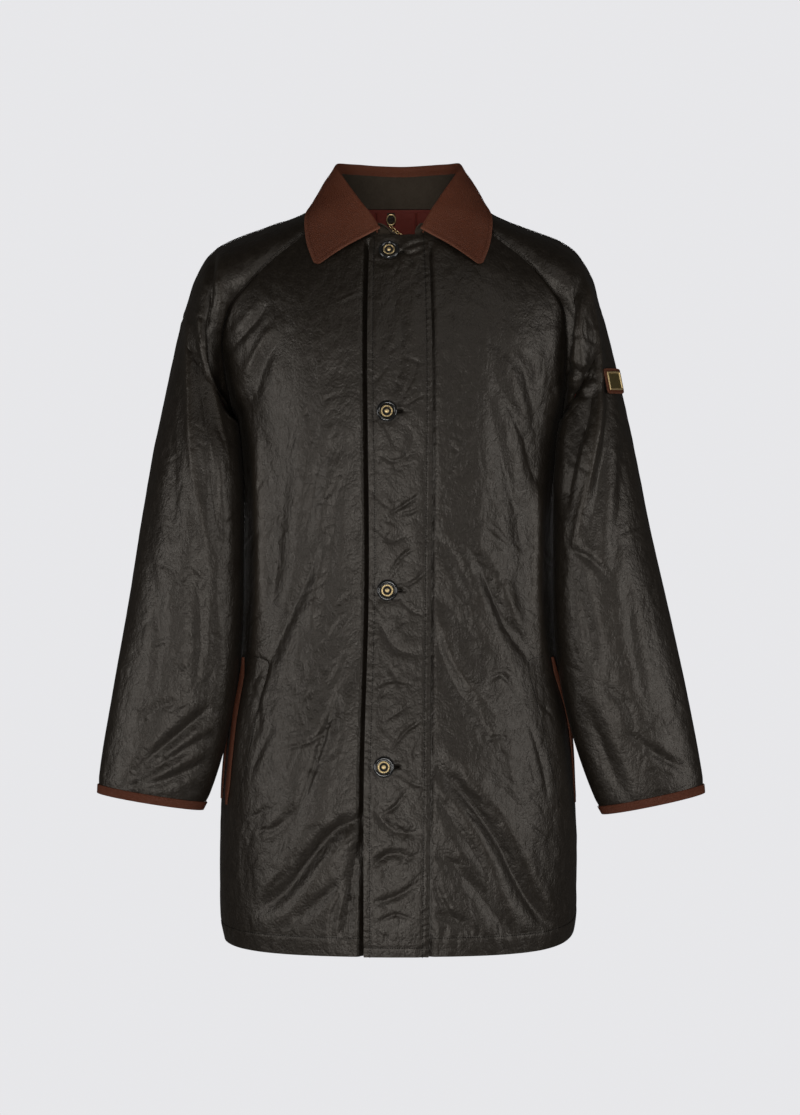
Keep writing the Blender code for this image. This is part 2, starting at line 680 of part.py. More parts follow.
def add_turned(name, profile, centre, axis, finish):
    """A body turned from a profile, closed at both ends, standing on an axis."""
    points = [(0.0, 0.0, profile.rows[0].height)]
    faces = []
    for ring in profile.rows:
        for step in range(ROUND_STEPS):
            angle = 2.0 * math.pi * step / ROUND_STEPS
            points.append((ring.radius * math.cos(angle), ring.radius * math.sin(angle), ring.height))
    points.append((0.0, 0.0, profile.rows[-1].height))
    last = 1 + (len(profile.rows) - 1) * ROUND_STEPS
    for step in range(ROUND_STEPS):
        follow = (step + 1) % ROUND_STEPS
        faces.append((0, 1 + follow, 1 + step))
        for low in range(1, last, ROUND_STEPS):
            high = low + ROUND_STEPS
            faces.append((low + step, low + follow, high + follow, high + step))
        faces.append((last + step, last + follow, len(points) - 1))
    turn = Vector(axis).to_track_quat("Z", "Y").to_matrix()
    placed = [Vector(centre) + turn @ Vector(point) for point in points]
    add_body(name, placed, faces, finish)


def add_buttons():
    """The buttons on the placket, a black rim round a brass middle."""
    for number, button in enumerate(BUTTONS.rows, start=1):
        centre, axis = body_lift(button.x, button.z, 2.0 * LAID_GAP + CLOTH, False)
        add_turned("button_%d" % number, BUTTON_RIM, centre, axis, "button_black")
        add_turned("button_inset_%d" % number, BUTTON_MIDDLE, centre, axis, "brass")


def add_pocket_lips():
    """Leather lips of the two side pockets, laid on the fronts."""
    sides = dict(SIDES)
    for lip in POCKET_LIPS.rows:
        grid = []
        for row in range(POCKET_ROWS + 1):
            share = row / POCKET_ROWS
            z = lip.bottom_z + (lip.top_z - lip.bottom_z) * share
            middle = lip.bottom_angle + (lip.top_angle - lip.bottom_angle) * share
            middle += lip.bow * math.sin(math.pi * share)
            half = math.degrees(POCKET_LIP_WIDTH / 2.0 / TORSO.at(z).front)
            angles = [math.radians(middle + turn) for turn in (-half, 0.0, half)]
            grid.append([body_point(angle, z, False) for angle in angles])
        grid = mirrored(np.array(grid), sides[lip.side])
        normals = grid_normals(grid, POCKET_MIDDLE)
        add_wall("pocket_lip_%s_%s" % (lip.name, lip.side), grid, normals, POCKET_GAP + LEATHER, LEATHER,
                 "collar_leather")


def badge_grid(width, height):
    """Points of the left sleeve under the badge, square to the overarm seam."""
    turn = BADGE_TURN / 180.0

    def place(along, turn_share):
        return sleeve_point(along, turn_share, False, 1)

    centre = place(BADGE_ALONG, turn)
    by_along = (place(BADGE_ALONG + SLEEVE_STEP, turn) - centre) / SLEEVE_STEP
    by_turn = (place(BADGE_ALONG, turn + SLEEVE_STEP) - centre) / SLEEVE_STEP
    axis = place(BADGE_ALONG + SLEEVE_STEP, 0.0) - place(BADGE_ALONG, 0.0)
    normal = unit(np.cross(by_turn, by_along))
    down = unit(axis - normal * np.dot(axis, normal))
    across = np.cross(down, normal)
    tangents = np.stack((by_along, by_turn), axis=1)
    grid = []
    for low in BADGE_SHARES:
        line = []
        for wide in BADGE_SHARES:
            offset = down * height * low + across * width * wide
            along_step, turn_step = np.linalg.lstsq(tangents, offset, rcond=None)[0]
            line.append(place(BADGE_ALONG + along_step, turn + turn_step))
        grid.append(line)
    return np.array(grid)


def add_badge():
    """Leather patch and brass plate on the left sleeve."""
    middle = sleeve_section(BADGE_ALONG, False, 1)[0]
    patch = badge_grid(BADGE_WIDTH, BADGE_HEIGHT)
    patch_lift = LAID_GAP + LEATHER
    add_wall("badge_patch", patch, grid_normals(patch, middle), patch_lift, LEATHER, "collar_leather")
    inset = 2.0 * BADGE_PLATE_INSET
    plate = badge_grid(BADGE_WIDTH - inset, BADGE_HEIGHT - inset)
    plate_lift = patch_lift + LAID_GAP + BADGE_PLATE_THICK
    add_wall("badge_plate", plate, grid_normals(plate, middle), plate_lift, BADGE_PLATE_THICK, "brass")


def add_cuff_bindings(panels):
    """Leather folded round each sleeve's end."""
    inside = -CLOTH - LAID_GAP
    outside = LAID_GAP + LEATHER
    profile = (
        (LAID_GAP, -BINDING_HEIGHT), (outside, -BINDING_HEIGHT), (outside, outside),
        (inside - LEATHER, outside), (inside - LEATHER, -BINDING_INSIDE), (inside, -BINDING_INSIDE),
        (inside, LAID_GAP), (LAID_GAP, LAID_GAP),
    )
    for name, side in SIDES:
        front = panels["sleeve_%s_front" % name]
        back = panels["sleeve_%s_back" % name]
        end = np.concatenate((front["grid"][-1], back["grid"][-1][-2:0:-1]))
        above = np.concatenate((front["grid"][-2], back["grid"][-2][-2:0:-1]))
        normals = np.concatenate((front["normals"][-1], back["normals"][-1][-2:0:-1]))
        rings = [[place + normal * out + fall * low for out, low in profile]
                 for place, normal, fall in zip(end, normals, unit(end - above))]
        add_swept("cuff_binding_" + name, rings, "collar_leather")


# Inside the neck

def back_patch(centre_x, half_width, top_z, bottom_z, columns, rows):
    """Grid of the back's outer surface between two heights."""
    grid = []
    for row in range(rows + 1):
        z = top_z + (bottom_z - top_z) * row / rows
        places = [centre_x + half_width * (2.0 * column / columns - 1.0) for column in range(columns + 1)]
        grid.append([body_point(body_angle(x, z), z, True) for x in places])
    return np.array(grid)


def add_neck_lining():
    """The lining that shows below the collar stand, inside the back."""
    grid = back_patch(0.0, LINING_HALF_WIDTH, BACK_NECK_Z - LINING_START, BACK_NECK_Z - LINING_DEPTH,
                      BACK_COLUMNS // 2, LINING_ROWS)
    normals = grid_normals(grid, NECK_MIDDLE)
    add_wall("neck_lining", grid, normals, -LINING_SINK, LINING_CLOTH, "lining_cloth")


def add_hanger_ring(name, centre, across, up, facing):
    """An oval ring of wire."""
    rings = []
    for step in range(RING_STEPS):
        angle = 2.0 * math.pi * step / RING_STEPS
        out = across * math.cos(angle) + up * RING_STRETCH * math.sin(angle)
        wires = [2.0 * math.pi * turn / WIRE_STEPS for turn in range(WIRE_STEPS)]
        rings.append([centre + out * RING_RADIUS + unit(out) * RING_WIRE * math.cos(wire)
                      + facing * RING_WIRE * math.sin(wire) for wire in wires])
    add_swept(name, rings, "brass")


def add_hanger_chain(start, end):
    """The chain, a tube that sags between its two rings."""
    curve = bpy.data.curves.new("hanger_chain", "CURVE")
    curve.dimensions = "3D"
    curve.bevel_depth = CHAIN_RADIUS
    curve.bevel_resolution = 1
    curve.use_fill_caps = True
    line = curve.splines.new("POLY")
    line.points.add(CHAIN_STEPS)
    for step in range(CHAIN_STEPS + 1):
        share = step / CHAIN_STEPS
        sag = np.array((0.0, 0.0, 4.0 * CHAIN_SAG * share * (1.0 - share) + CHAIN_RADIUS))
        line.points[step].co = (*(start + (end - start) * share - sag), 1.0)
    link_object("hanger_chain", curve, "brass")


def add_hanger():
    """Two tabs with rings inside the neck, and the chain between them."""
    tab_sink = LINING_SINK + LINING_CLOTH + LAID_GAP
    ring_sink = tab_sink + TAB_THICK + LAID_GAP + RING_WIRE
    ends = {}
    for hanger in HANGERS.rows:
        half_height = TAB_HEIGHT / 2.0
        tab = back_patch(hanger.x, TAB_WIDTH / 2.0, hanger.z + half_height, hanger.z - half_height, 2, 2)
        normals = grid_normals(tab, NECK_MIDDLE)
        add_wall("hanger_tab_" + hanger.name, tab, normals, -tab_sink, TAB_THICK, "waxed_cotton")
        centre, facing = body_lift(hanger.x, hanger.z, -ring_sink, True)
        across = unit(np.cross(facing, np.array((0.0, 0.0, 1.0))))
        up = np.cross(across, facing)
        add_hanger_ring("hanger_ring_" + hanger.name, centre, across, up, facing)
        ends[hanger.name] = centre - up * (RING_RADIUS * RING_STRETCH + RING_WIRE + LAID_GAP)
    add_hanger_chain(ends["right"], ends["left"])


def main():
    """Model every piece."""
    clear_scene()
    panels = shell_panels()
    add_shell(panels)
    add_collar_fall()
    add_placket()
    add_buttons()
    add_pocket_lips()
    add_badge()
    add_cuff_bindings(panels)
    add_neck_lining()
    add_hanger()


main()
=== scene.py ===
"""Looks of the wax jacket: folded cloth, leather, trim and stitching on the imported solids, in a studio.

Metres, +Z up, the front faces -Y. Left and right are the wearer's: the left side lies at +X.
"""
import functools
import math
import random
from collections import namedtuple

import bmesh
import bpy
import numpy as np
from mathutils import Matrix, Vector, noise
from mathutils.bvhtree import BVHTree


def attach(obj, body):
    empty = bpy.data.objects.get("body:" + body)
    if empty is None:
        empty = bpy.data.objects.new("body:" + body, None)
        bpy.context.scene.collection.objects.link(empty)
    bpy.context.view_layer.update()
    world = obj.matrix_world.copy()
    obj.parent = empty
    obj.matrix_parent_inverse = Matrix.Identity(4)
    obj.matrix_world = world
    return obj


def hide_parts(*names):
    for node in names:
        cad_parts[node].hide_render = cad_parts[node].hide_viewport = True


bl_info = {
    "name": "Wax Jacket",
    "version": (1, 0, 0),
    "blender": (4, 5, 0),
    "location": "View3D > Sidebar > Jacket",
    "description": "Dresses the packed wax jacket in folded cloth, leather, trim and stitching",
    "category": "Object",
}

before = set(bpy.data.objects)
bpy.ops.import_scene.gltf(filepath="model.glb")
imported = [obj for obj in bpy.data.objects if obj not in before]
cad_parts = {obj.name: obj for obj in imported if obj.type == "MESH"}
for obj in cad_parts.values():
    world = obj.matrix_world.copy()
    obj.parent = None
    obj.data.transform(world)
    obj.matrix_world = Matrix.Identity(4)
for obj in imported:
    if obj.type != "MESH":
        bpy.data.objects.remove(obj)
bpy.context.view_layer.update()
MM = 0.001


def smooth_through(keys, values, at):
    """Values on a smooth curve through those given at the keys."""
    keys = np.asarray(keys, dtype=float)
    values = np.asarray(values, dtype=float)
    at = np.clip(np.asarray(at, dtype=float), keys[0], keys[-1])
    low = np.clip(np.searchsorted(keys, at) - 1, 0, len(keys) - 2)
    slopes = np.gradient(values, keys, axis=0)
    extra = (1,) * (values.ndim - 1)
    span = (keys[low + 1] - keys[low]).reshape(at.shape + extra)
    t = (at - keys[low]).reshape(at.shape + extra) / span
    start = values[low] * (2 * t**3 - 3 * t**2 + 1) + slopes[low] * span * (t**3 - 2 * t**2 + t)
    end = values[low + 1] * (3 * t**2 - 2 * t**3) + slopes[low + 1] * span * (t**3 - t**2)
    return start + end


class Table:
    """Rows of sizes with named columns."""

    def __init__(self, columns, rows):
        self.row_type = namedtuple("Row", columns)
        self.rows = [self.row_type(*row) for row in rows]

    def at(self, value):
        """Columns on a smooth curve through the rows, at values of the first column."""
        rows = np.array(self.rows, dtype=float)
        return self.row_type(*np.moveaxis(smooth_through(rows[:, 0], rows, value), -1, 0))


# Plain form of the jacket, as its solids have it
CLOTH = 0.002
STAND_CLOTH = 0.0015
LINING_CLOTH = 0.0012
LEATHER = 0.0017
SEAM_PULL = 0.00006
LAID_GAP = 0.0004
ROUNDING = 2.4
TORSO = Table("z half_width front back", (
    (-0.86, 0.203, 0.148, 0.134), (-0.835, 0.208, 0.15, 0.136), (-0.79, 0.2095, 0.15, 0.136),
    (-0.7, 0.2085, 0.149, 0.135), (-0.636, 0.204, 0.146, 0.133), (-0.596, 0.1995, 0.143, 0.131),
    (-0.531, 0.188, 0.137, 0.127), (-0.468, 0.1845, 0.133, 0.124), (-0.317, 0.186, 0.135, 0.126),
    (-0.245, 0.193, 0.136, 0.127), (-0.19, 0.21, 0.132, 0.127), (-0.145, 0.222, 0.126, 0.125),
    (-0.09, 0.215, 0.112, 0.117), (-0.045, 0.17, 0.092, 0.098), (-0.01, 0.13, 0.068, 0.078),
    (0.012, 0.11, 0.055, 0.068),
))
HEM_Z = -0.86
HEM_RISE = {-1: 0.006, 1: 0.02}
HEM_CURVE = 4
ARMPIT_Z = -0.245
FRONT_NECK_Z = -0.045
BACK_NECK_Z = 0.01
NECK_CURVE = 0.6
FRONT_MEET_X = 0.026
BODY_MIDDLE = (0, 0, -0.4)
NECK_MIDDLE = (0, 0, -0.05)

# Raglan seams from the neck (0) to the armpit (1); the left seam lies further in
RAGLAN_FRONT = Table("along x z left_in", (
    (0, 0.082, -0.01, 0), (0.13, 0.1075, -0.0345, 0), (0.3, 0.146, -0.066, 0),
    (0.44, 0.174, -0.096, 0.002), (0.56, 0.195, -0.122, 0.006), (0.66, 0.2035, -0.15, 0.011),
    (0.84, 0.201, -0.2, 0.008), (1, 0.193, -0.245, 0),
))
RAGLAN_BACK = Table("along x z left_in", (
    (0, 0.07, 0.01, 0), (0.15, 0.1, -0.02, 0), (0.32, 0.135, -0.055, 0), (0.46, 0.165, -0.09, 0.002),
    (0.58, 0.186, -0.122, 0.005), (0.7, 0.198, -0.155, 0.008), (0.85, 0.2, -0.2, 0.006),
    (1, 0.193, -0.245, 0),
))

# Sleeve sections: 0 neck, 1 armpit, 2 cuff; turn is the angle from the overarm seam to the lower seam
SLEEVE = Table("along top_x top_y top_z turn front_bulge back_bulge left_in", (
    (0, 0.088, 0, 0.012, 90, 0.056, 0.057, 0), (0.08, 0.104, 0, 0, 91, 0.064, 0.066, 0.001),
    (0.32, 0.159, 0, -0.022, 99, 0.077, 0.08, 0.006),
    (0.51, 0.2015, 0, -0.038, 113, 0.084, 0.087, 0.009), (0.6, 0.219, 0, -0.05, 122, 0.085, 0.088, 0.01),
    (0.74, 0.2385, 0, -0.08, 139, 0.084, 0.086, 0.011), (0.87, 0.249, 0, -0.111, 158, 0.08, 0.08, 0.012),
    (1, 0.258, 0, -0.141, 180, 0.076, 0.074, 0.012),
    (1.12, 0.2715, -0.006, -0.204, 180, 0.071, 0.068, 0.011),
    (1.29, 0.2895, -0.018, -0.297, 180, 0.065, 0.062, 0.01),
    (1.43, 0.3015, -0.028, -0.375, 180, 0.059, 0.057, 0.007),
    (1.57, 0.313, -0.036, -0.45, 180, 0.054, 0.052, 0.002),
    (1.77, 0.332, -0.044, -0.561, 180, 0.046, 0.044, -0.003),
    (1.94, 0.3465, -0.05, -0.65, 180, 0.038, 0.036, -0.005),
    (2, 0.35, -0.052, -0.68, 180, 0.036, 0.034, -0.006),
))
UNDERARM = Table("along x y z left_out left_down", (
    (1, 0.193, 0, -0.245, 0, 0), (1.06, 0.1914, -0.02, -0.272, 0, 0), (1.12, 0.1852, -0.04, -0.3, 0, 0),
    (1.29, 0.1797, -0.05, -0.36, 0, 0), (1.43, 0.1784, -0.054, -0.43, 0, 0),
    (1.57, 0.1794, -0.056, -0.495, 0, 0), (1.77, 0.1915, -0.058, -0.59, 0.003, 0.001),
    (1.94, 0.2145, -0.057, -0.672, 0.008, 0.004), (2, 0.2255, -0.057, -0.7, 0.0095, 0.005),
))

# How far the sleeve's lower seam comes in and forward just below the armpit, where cloth bunches
ARMPIT_CLOSE = Table("along x y z", (
    (1, 0, 0, 0), (1.012, -0.0047, -0.036, 0.0004), (1.03, -0.0065, -0.036, 0.0015),
    (1.06, -0.0072, -0.029, 0.002), (1.12, -0.0037, -0.011, 0), (1.29, 0, 0, 0), (2, 0, 0, 0),
))
ARMPIT_CLOSE_FROM = 0.6   # share of a sleeve half's turn from which it does
ARMPIT_CLEAR = 0.0001     # least distance of the sleeve from the body there

# Collar sections of one half, from its front end (0) to the centre back (1) and a mirrored one past it
COLLAR = Table("along roll_x roll_y roll_z edge_x edge_y edge_z", (
    (0, 0.0245, -0.1, -0.033, 0.0952, -0.1035, -0.075),
    (0.12, 0.037, -0.078, -0.012, 0.105, -0.088, -0.048),
    (0.25, 0.05, -0.055, 0.008, 0.1085, -0.069, -0.018),
    (0.4, 0.068, -0.018, 0.038, 0.104, -0.035, 0.0005), (0.6, 0.0745, 0.024, 0.056, 0.096, 0.022, 0.01),
    (0.8, 0.055, 0.058, 0.06, 0.073, 0.066, 0.009), (1, 0, 0.076, 0.059, 0, 0.086, -0.003),
    (1.2, -0.055, 0.058, 0.06, -0.073, 0.066, 0.009),
))
COLLAR_LEFT_OUT = 0.0042
COLLAR_LEFT_RUN = 0.3
COLLAR_INSIDE = 0.0095
COLLAR_INSIDE_END = 0.3
COLLAR_INSIDE_RUN = 0.2
COLLAR_PADDING = 0.005
COLLAR_CREST = 0.001
COLLAR_BULGE = 0.003
COLLAR_BULGE_RISE = 0.06
COLLAR_PLACES = (0, 0.55, 1, 1.12, 1.4, 1.7, 2)
COLLAR_END_X = 0.036
COLLAR_TIP = 0.007
COLLAR_STAND_START = 0.08
STAND_DROP = 0.0008
STAND_ENDS = {-1: -0.0075, 1: 0.0155}
STAND_END_Z = -0.0365
STAND_END_RISE = 0.0045
STAND_BELLY = 0.008      # how far the stand's front ends stand in from the roll
STAND_BELLY_RUN = 0.28

# Placket edges from the hem up, and the drop of its rounded top corners
PLACKET = Table("z right_x left_x", (
    (-0.86, -0.039, 0.034), (-0.645, -0.0385, 0.0358), (-0.46, -0.0335, 0.0368), (-0.1, -0.0345, 0.0365),
    (-0.04, -0.033, 0.034),
))
PLACKET_TOP_Z = -0.04
PLACKET_WIDTH = 0.072
PLACKET_TOP = Table("share drop", (
    (0, 0.006), (0.1, 0.0014), (0.5, 0), (0.9, 0.0014), (1, 0.006),
))
BUTTONS = Table("x z", (
    (-0.0108, -0.0595), (-0.013, -0.2436), (-0.0125, -0.4464), (-0.0164, -0.6458),
))
POCKET_LIPS = Table("side name top_angle bottom_angle bow top_z bottom_z", (
    ("left", "front", 22, 7.5, -5, -0.525, -0.695), ("left", "back", 12, 2.8, -3.5, -0.523, -0.69),
    ("right", "front", 20.5, 19.5, 1, -0.525, -0.695), ("right", "back", 9, 10, 0, -0.523, -0.69),
))
POCKET_LIP_WIDTH = 0.011
POCKET_GAP = 0.0006
POCKET_MIDDLE = (0, 0, -0.6)
LIP_BULGE = {"front": 0.0022, "back": 0.0006}
LIP_TUCK = {"left": 0.0013, "right": 0}    # how far a lip's lower end is sewn in
LIP_END = 0.6             # share of its height over which it is
BADGE_ALONG = 1.095
BADGE_TURN = 46
BADGE_WIDTH = 0.034
BADGE_HEIGHT = 0.029
BADGE_PLATE_INSET = 0.0035
BADGE_STIFF = 0.9         # 0 lies on the sleeve, 1 stays flat
BADGE_LIFT = 0.004        # how far its outer edge stands off
BADGE_PLATE_THICK = 0.0012
BADGE_CORNER = 0.05       # rounding of the patch's corners, and of the plate's
PLATE_CORNER = 0.03
PATCH_DIP = 0.0003        # the patch's sewn groove, at shares of the way to its edge
PATCH_DIP_AT = 0.86
PATCH_DIP_WIDTH = 0.06
PLATE_FRAME = 0.8        # share of the way to its edge at which the plate's frame begins
BINDING_HEIGHT = 0.0085
BINDING_INSIDE = 0.0065
BINDING_FOLD = 0.0011     # radius of its two folded corners, and the bevel of its upper edge
BINDING_BEVEL = 0.0006
BINDING_STEPS = 60
LINING_HALF_WIDTH = 0.066
LINING_START = 0.003
LINING_DEPTH = 0.085
LINING_SINK = CLOTH + 2 * LAID_GAP
HANGERS = Table("name x z", (
    ("right", -0.009, 0), ("left", 0.05, 0),
))
TAB_WIDTH = 0.009
TAB_HEIGHT = 0.014
TAB_THICK = 0.001
RING_RADIUS = 0.0052
RING_STRETCH = 1.25
RING_WIRE = 0.0008
CHAIN_SAG = 0.016

# Folds as a front view shows them: depth and half width in millimetres, then places (x, z) in millimetres.
# A negative depth is a ridge, sharp goes from a soft trough (0) to a crease (1), and the higher shoulder
# of a fold lies to the left of its run
Fold = namedtuple("Fold", "depth half_width places sharp", defaults=(0.35,))
FRONT_FOLDS = (
    Fold(2.2, 8, ((-66, -280), (-89, -305), (-99, -349), (-107, -400)), 0.3),
    Fold(3.4, 9, ((-90, -390), (-104, -430), (-122, -467), (-142, -512), (-156, -545)), 0.4),
    Fold(-1.4, 6, ((-86, -400), (-96, -450), (-98, -490))),
    Fold(2.6, 8, ((-190, -250), (-166, -220), (-157, -195), (-147, -176), (-130, -155))),
    Fold(2, 5.5, ((-202, -176), (-181, -155), (-160, -132), (-152, -118))),
    Fold(-1.4, 5, ((-176, -200), (-158, -165), (-140, -140))),
    Fold(-4.5, 9, ((-164, -268), (-160, -340), (-158, -430), (-163, -520)), 0),
    Fold(-4.5, 9, ((163, -300), (160, -360), (158, -440), (163, -520)), 0),
    Fold(1.2, 8, ((-128, -250), (-130, -330), (-138, -410), (-152, -480))),
    Fold(0.9, 8, ((-70, -330), (-76, -400), (-92, -470))),
    Fold(0.8, 2.2, ((-63, -283), (-73, -301), (-81, -324))), Fold(0.6, 1.8, ((-98, -347), (-77, -347))),
    Fold(0.6, 1.8, ((-87, -375), (-68, -368))), Fold(-0.5, 1.8, ((-72, -120), (-56, -112), (-38, -105))),
    Fold(2, 9, ((-48, -520), (-80, -601), (-96, -641), (-112, -696), (-150, -742))),
    Fold(1.8, 3.4, ((-66, -552), (-84, -608), (-100, -658), (-118, -704)), 0.9),
    Fold(1.2, 2.4, ((-74, -586), (-92, -613), (-134, -629)), 0.9),
    Fold(6, 9, ((-36, -700), (-72, -718), (-100, -749), (-128, -786), (-156, -810)), 0.5),
    Fold(4.4, 7, ((-42, -712), (-50, -765), (-57, -812), (-60, -842)), 0.4),
    Fold(1.8, 3.2, ((-60, -776), (-72, -809), (-77, -838)), 0.8),
    Fold(2.4, 6, ((-62, -772), (-88, -796), (-120, -824)), 0.4),
    Fold(1.6, 4, ((-112, -690), (-140, -716), (-158, -722)), 0.7),
    Fold(1.4, 3, ((-170, -523), (-152, -531), (-157, -561), (-168, -598)), 1),
    Fold(1.3, 4.5, ((-143, -599), (-158, -629), (-168, -654))),
    Fold(0.9, 3.5, ((-168, -556), (-160, -590), (-163, -618))),
    Fold(1.2, 8, ((-150, -690), (-172, -735), (-182, -795))),
    Fold(2.4, 8.5, ((108, -164), (139, -185), (149, -212), (157, -255), (166, -340))),
    Fold(2, 8, ((100, -188), (128, -236), (147, -285), (160, -336))),
    Fold(1.8, 9, ((104, -230), (122, -304), (133, -353), (150, -426))),
    Fold(0.8, 2, ((82, -274), (66, -298), (53, -320))),
    Fold(2.4, 7, ((76, -390), (103, -440), (121, -475), (150, -514)), 0.4),
    Fold(3, 8, ((96, -420), (110, -455), (127, -495), (155, -530)), 0.4),
    Fold(-1.8, 7, ((42, -476), (67, -537), (106, -580))),
    Fold(1.4, 2.6, ((64, -448), (78, -468), (80, -484)), 0.9),
    Fold(1.6, 7, ((40, -380), (62, -415), (79, -438), (82, -470))),
    Fold(1.4, 7, ((40, -446), (66, -478), (90, -508), (112, -532))),
    Fold(2.2, 8, ((40, -486), (62, -550), (87, -587), (104, -615))),
    Fold(1.3, 2.8, ((102, -550), (118, -543), (132, -560)), 0.9),
    Fold(1.2, 2.6, ((92, -596), (102, -608), (110, -620)), 0.9),
    Fold(1, 2.4, ((100, -616), (114, -613), (128, -616)), 0.9),
    Fold(6.5, 9, ((40, -640), (80, -683), (115, -733), (146, -794), (178, -838)), 0.5),
    Fold(2, 7, ((38, -672), (66, -712), (92, -752), (112, -800)), 0.3),
    Fold(3, 8, ((40, -738), (80, -774), (110, -814), (130, -846)), 0.4),
    Fold(1.8, 3.2, ((40, -770), (48, -795), (64, -820)), 0.8),
    Fold(1.8, 6, ((38, -810), (68, -820), (98, -848)), 0.3),
    Fold(1.2, 3, ((150, -600), (166, -650), (172, -690)), 0.7),
)
BACK_FOLDS = (
    Fold(2.8, 11, ((-182, -200), (-130, -275), (-104, -340), (-92, -400))),
    Fold(2.8, 11, ((184, -205), (136, -285), (112, -350), (102, -415))),
    Fold(1.6, 8, ((-184, -226), (-152, -300), (-140, -370))),
    Fold(1.6, 8, ((186, -230), (158, -310), (150, -390))),
    Fold(3.2, 13, ((-56, -390), (-84, -480), (-118, -570), (-148, -640))),
    Fold(3.4, 13, ((46, -420), (70, -510), (104, -595), (144, -668))),
    Fold(1.6, 9, ((-20, -420), (-36, -520), (-40, -610))),
    Fold(2.8, 12, ((-26, -590), (-52, -670), (-84, -740), (-120, -815))),
    Fold(3.4, 12, ((14, -610), (40, -690), (72, -760), (106, -842))),
    Fold(2, 9, ((-110, -650), (-140, -720), (-167, -808))),
    Fold(2, 9, ((120, -675), (150, -740), (174, -822))),
    Fold(1, 6, ((-60, -130), (-20, -155), (30, -152))),
    Fold(1, 6, ((-30, -300), (10, -330), (50, -326))),
)
RIGHT_SLEEVE_FOLDS = (
    Fold(4, 4.5, ((-214, -54), (-216, -86), (-217, -120))),
    Fold(9, 7, ((-218, -104), (-215, -150), (-209, -190), (-191, -240))),
    Fold(-2.6, 5, ((-246, -116), (-243, -170), (-242, -211), (-236, -302), (-219, -400))),
    Fold(3.4, 6, ((-236, -155), (-222, -241), (-213, -332), (-204, -400))),
    Fold(-2.2, 4.5, ((-232, -126), (-214, -220), (-194, -298))),
    Fold(1.6, 8, ((-262, -250), (-258, -330), (-262, -420))),
    Fold(2.4, 8, ((-228, -412), (-226, -505), (-231, -560))),
    Fold(2, 7, ((-210, -460), (-214, -540), (-226, -598))), Fold(0.9, 3, ((-257, -514), (-246, -543))),
    Fold(1.2, 7, ((-286, -410), (-276, -490), (-283, -570))),
    Fold(4, 7, ((-216, -582), (-257, -616), (-306, -657))),
    Fold(3.2, 6.5, ((-222, -614), (-268, -644), (-320, -673))),
    Fold(2.2, 6, ((-224, -645), (-262, -662), (-298, -673))),
    Fold(1.2, 6, ((-236, -572), (-272, -580), (-302, -600))),
)
LEFT_SLEEVE_FOLDS = (
    Fold(8, 6.5, ((212, -86), (196, -133), (190, -180), (187, -222))),
    Fold(-3.2, 5, ((212, -70), (229, -152), (232, -211), (228, -272), (205, -386))),
    Fold(2.6, 4.5, ((188, -184), (203, -194), (228, -204))),
    Fold(2, 4.5, ((194, -212), (212, -222), (232, -216))),
    Fold(7.5, 8, ((224, -216), (214, -248), (200, -290), (191, -358))),
    Fold(-2.2, 4, ((198, -406), (217, -320), (230, -234))),
    Fold(2.6, 7, ((243, -170), (240, -260), (228, -340), (214, -420))),
    Fold(1.6, 7, ((262, -250), (256, -340), (245, -430))),
    Fold(2, 4.5, ((194, -399), (220, -412), (243, -438))),
    Fold(2.6, 8, ((202, -424), (214, -480), (225, -527))), Fold(0.9, 3, ((254, -518), (263, -543))),
    Fold(1.2, 6, ((262, -430), (268, -500), (281, -568))),
    Fold(1.6, 6, ((236, -556), (262, -578), (271, -610))),
    Fold(2.4, 5, ((266, -611), (296, -634), (331, -654))),
    Fold(3.4, 9, ((218, -584), (236, -632), (257, -680))),
)
SLEEVE_BACK_FOLDS = (
    Fold(4.5, 7, ((212, -106), (208, -160), (199, -222))),
    Fold(2.2, 8, ((237, -165), (226, -250), (213, -340))),
    Fold(1.8, 7, ((262, -275), (252, -360), (239, -438))),
    Fold(3.4, 8, ((203, -468), (246, -486), (290, -470))),
    Fold(2.2, 7, ((211, -518), (252, -534), (295, -522))),
    Fold(3, 7, ((225, -593), (268, -626), (319, -658))),
    Fold(2, 7, ((224, -630), (262, -654), (303, -668))),
)
FOLD_SAMPLES = 28
FOLD_REACH = 4          # half widths beyond which a fold isn't felt
FOLD_SHOULDER = 0.3      # height of a fold's shoulder against its depth
CREASE_FALL = 1.7         # the higher, the steeper a sharp crease falls
CREASE_ROUND = 0.14       # rounding of its bottom, in half widths

# What seams and stitches do to the cloth
SEAM_RUN = 0.012          # folds die away over this run beside a sewn edge
SEAM_DIP = 0.0007
SEAM_DIP_WIDTH = 0.0018
HEM_STITCH = 0.0215       # the hem's stitch line above its edge
STITCH_DIP = 0.0005
STITCH_DIP_WIDTH = 0.0014
PLACKET_MARGIN = 0.007   # the placket's stitch lines inside its edges
PLACKET_FOOT = 0.0105     # its foot's stitch line above the hem
PLACKET_SINK = {1: 0.0022, -1: 0.0065}   # how far a front lies lower under the placket, and over what run
PLACKET_SINK_RUN = {1: 0.006, -1: 0.008}
PLACKET_COVER = 0.002     # how far a front's folds run on under the placket, and fade over what run
PLACKET_COVER_RUN = 0.008
PLACKET_CRUMPLE = 0.001
PLACKET_BAND = 0.008      # flat cloth along its edges, and the run over which it ends
PLACKET_BAND_RUN = 0.012
PLACKET_DROP = 0.0009     # how far its sewn edge lies lower
PLACKET_DROP_RUN = 0.005
NECK_RUN = 0.02           # run below the neck over which a front's sinking begins
RAGLAN_STITCH = 0.0036
RAGLAN_LENGTH = 0.26
CUFF_DRAW = 0.0018        # how far the binding draws the sleeve's end in
CUFF_DRAW_RUN = 0.018
CUFF_RUN = 0.016
HEM_BAND = 0.0005         # how far the doubled hem stands out
HEM_BAND_RUN = 0.004
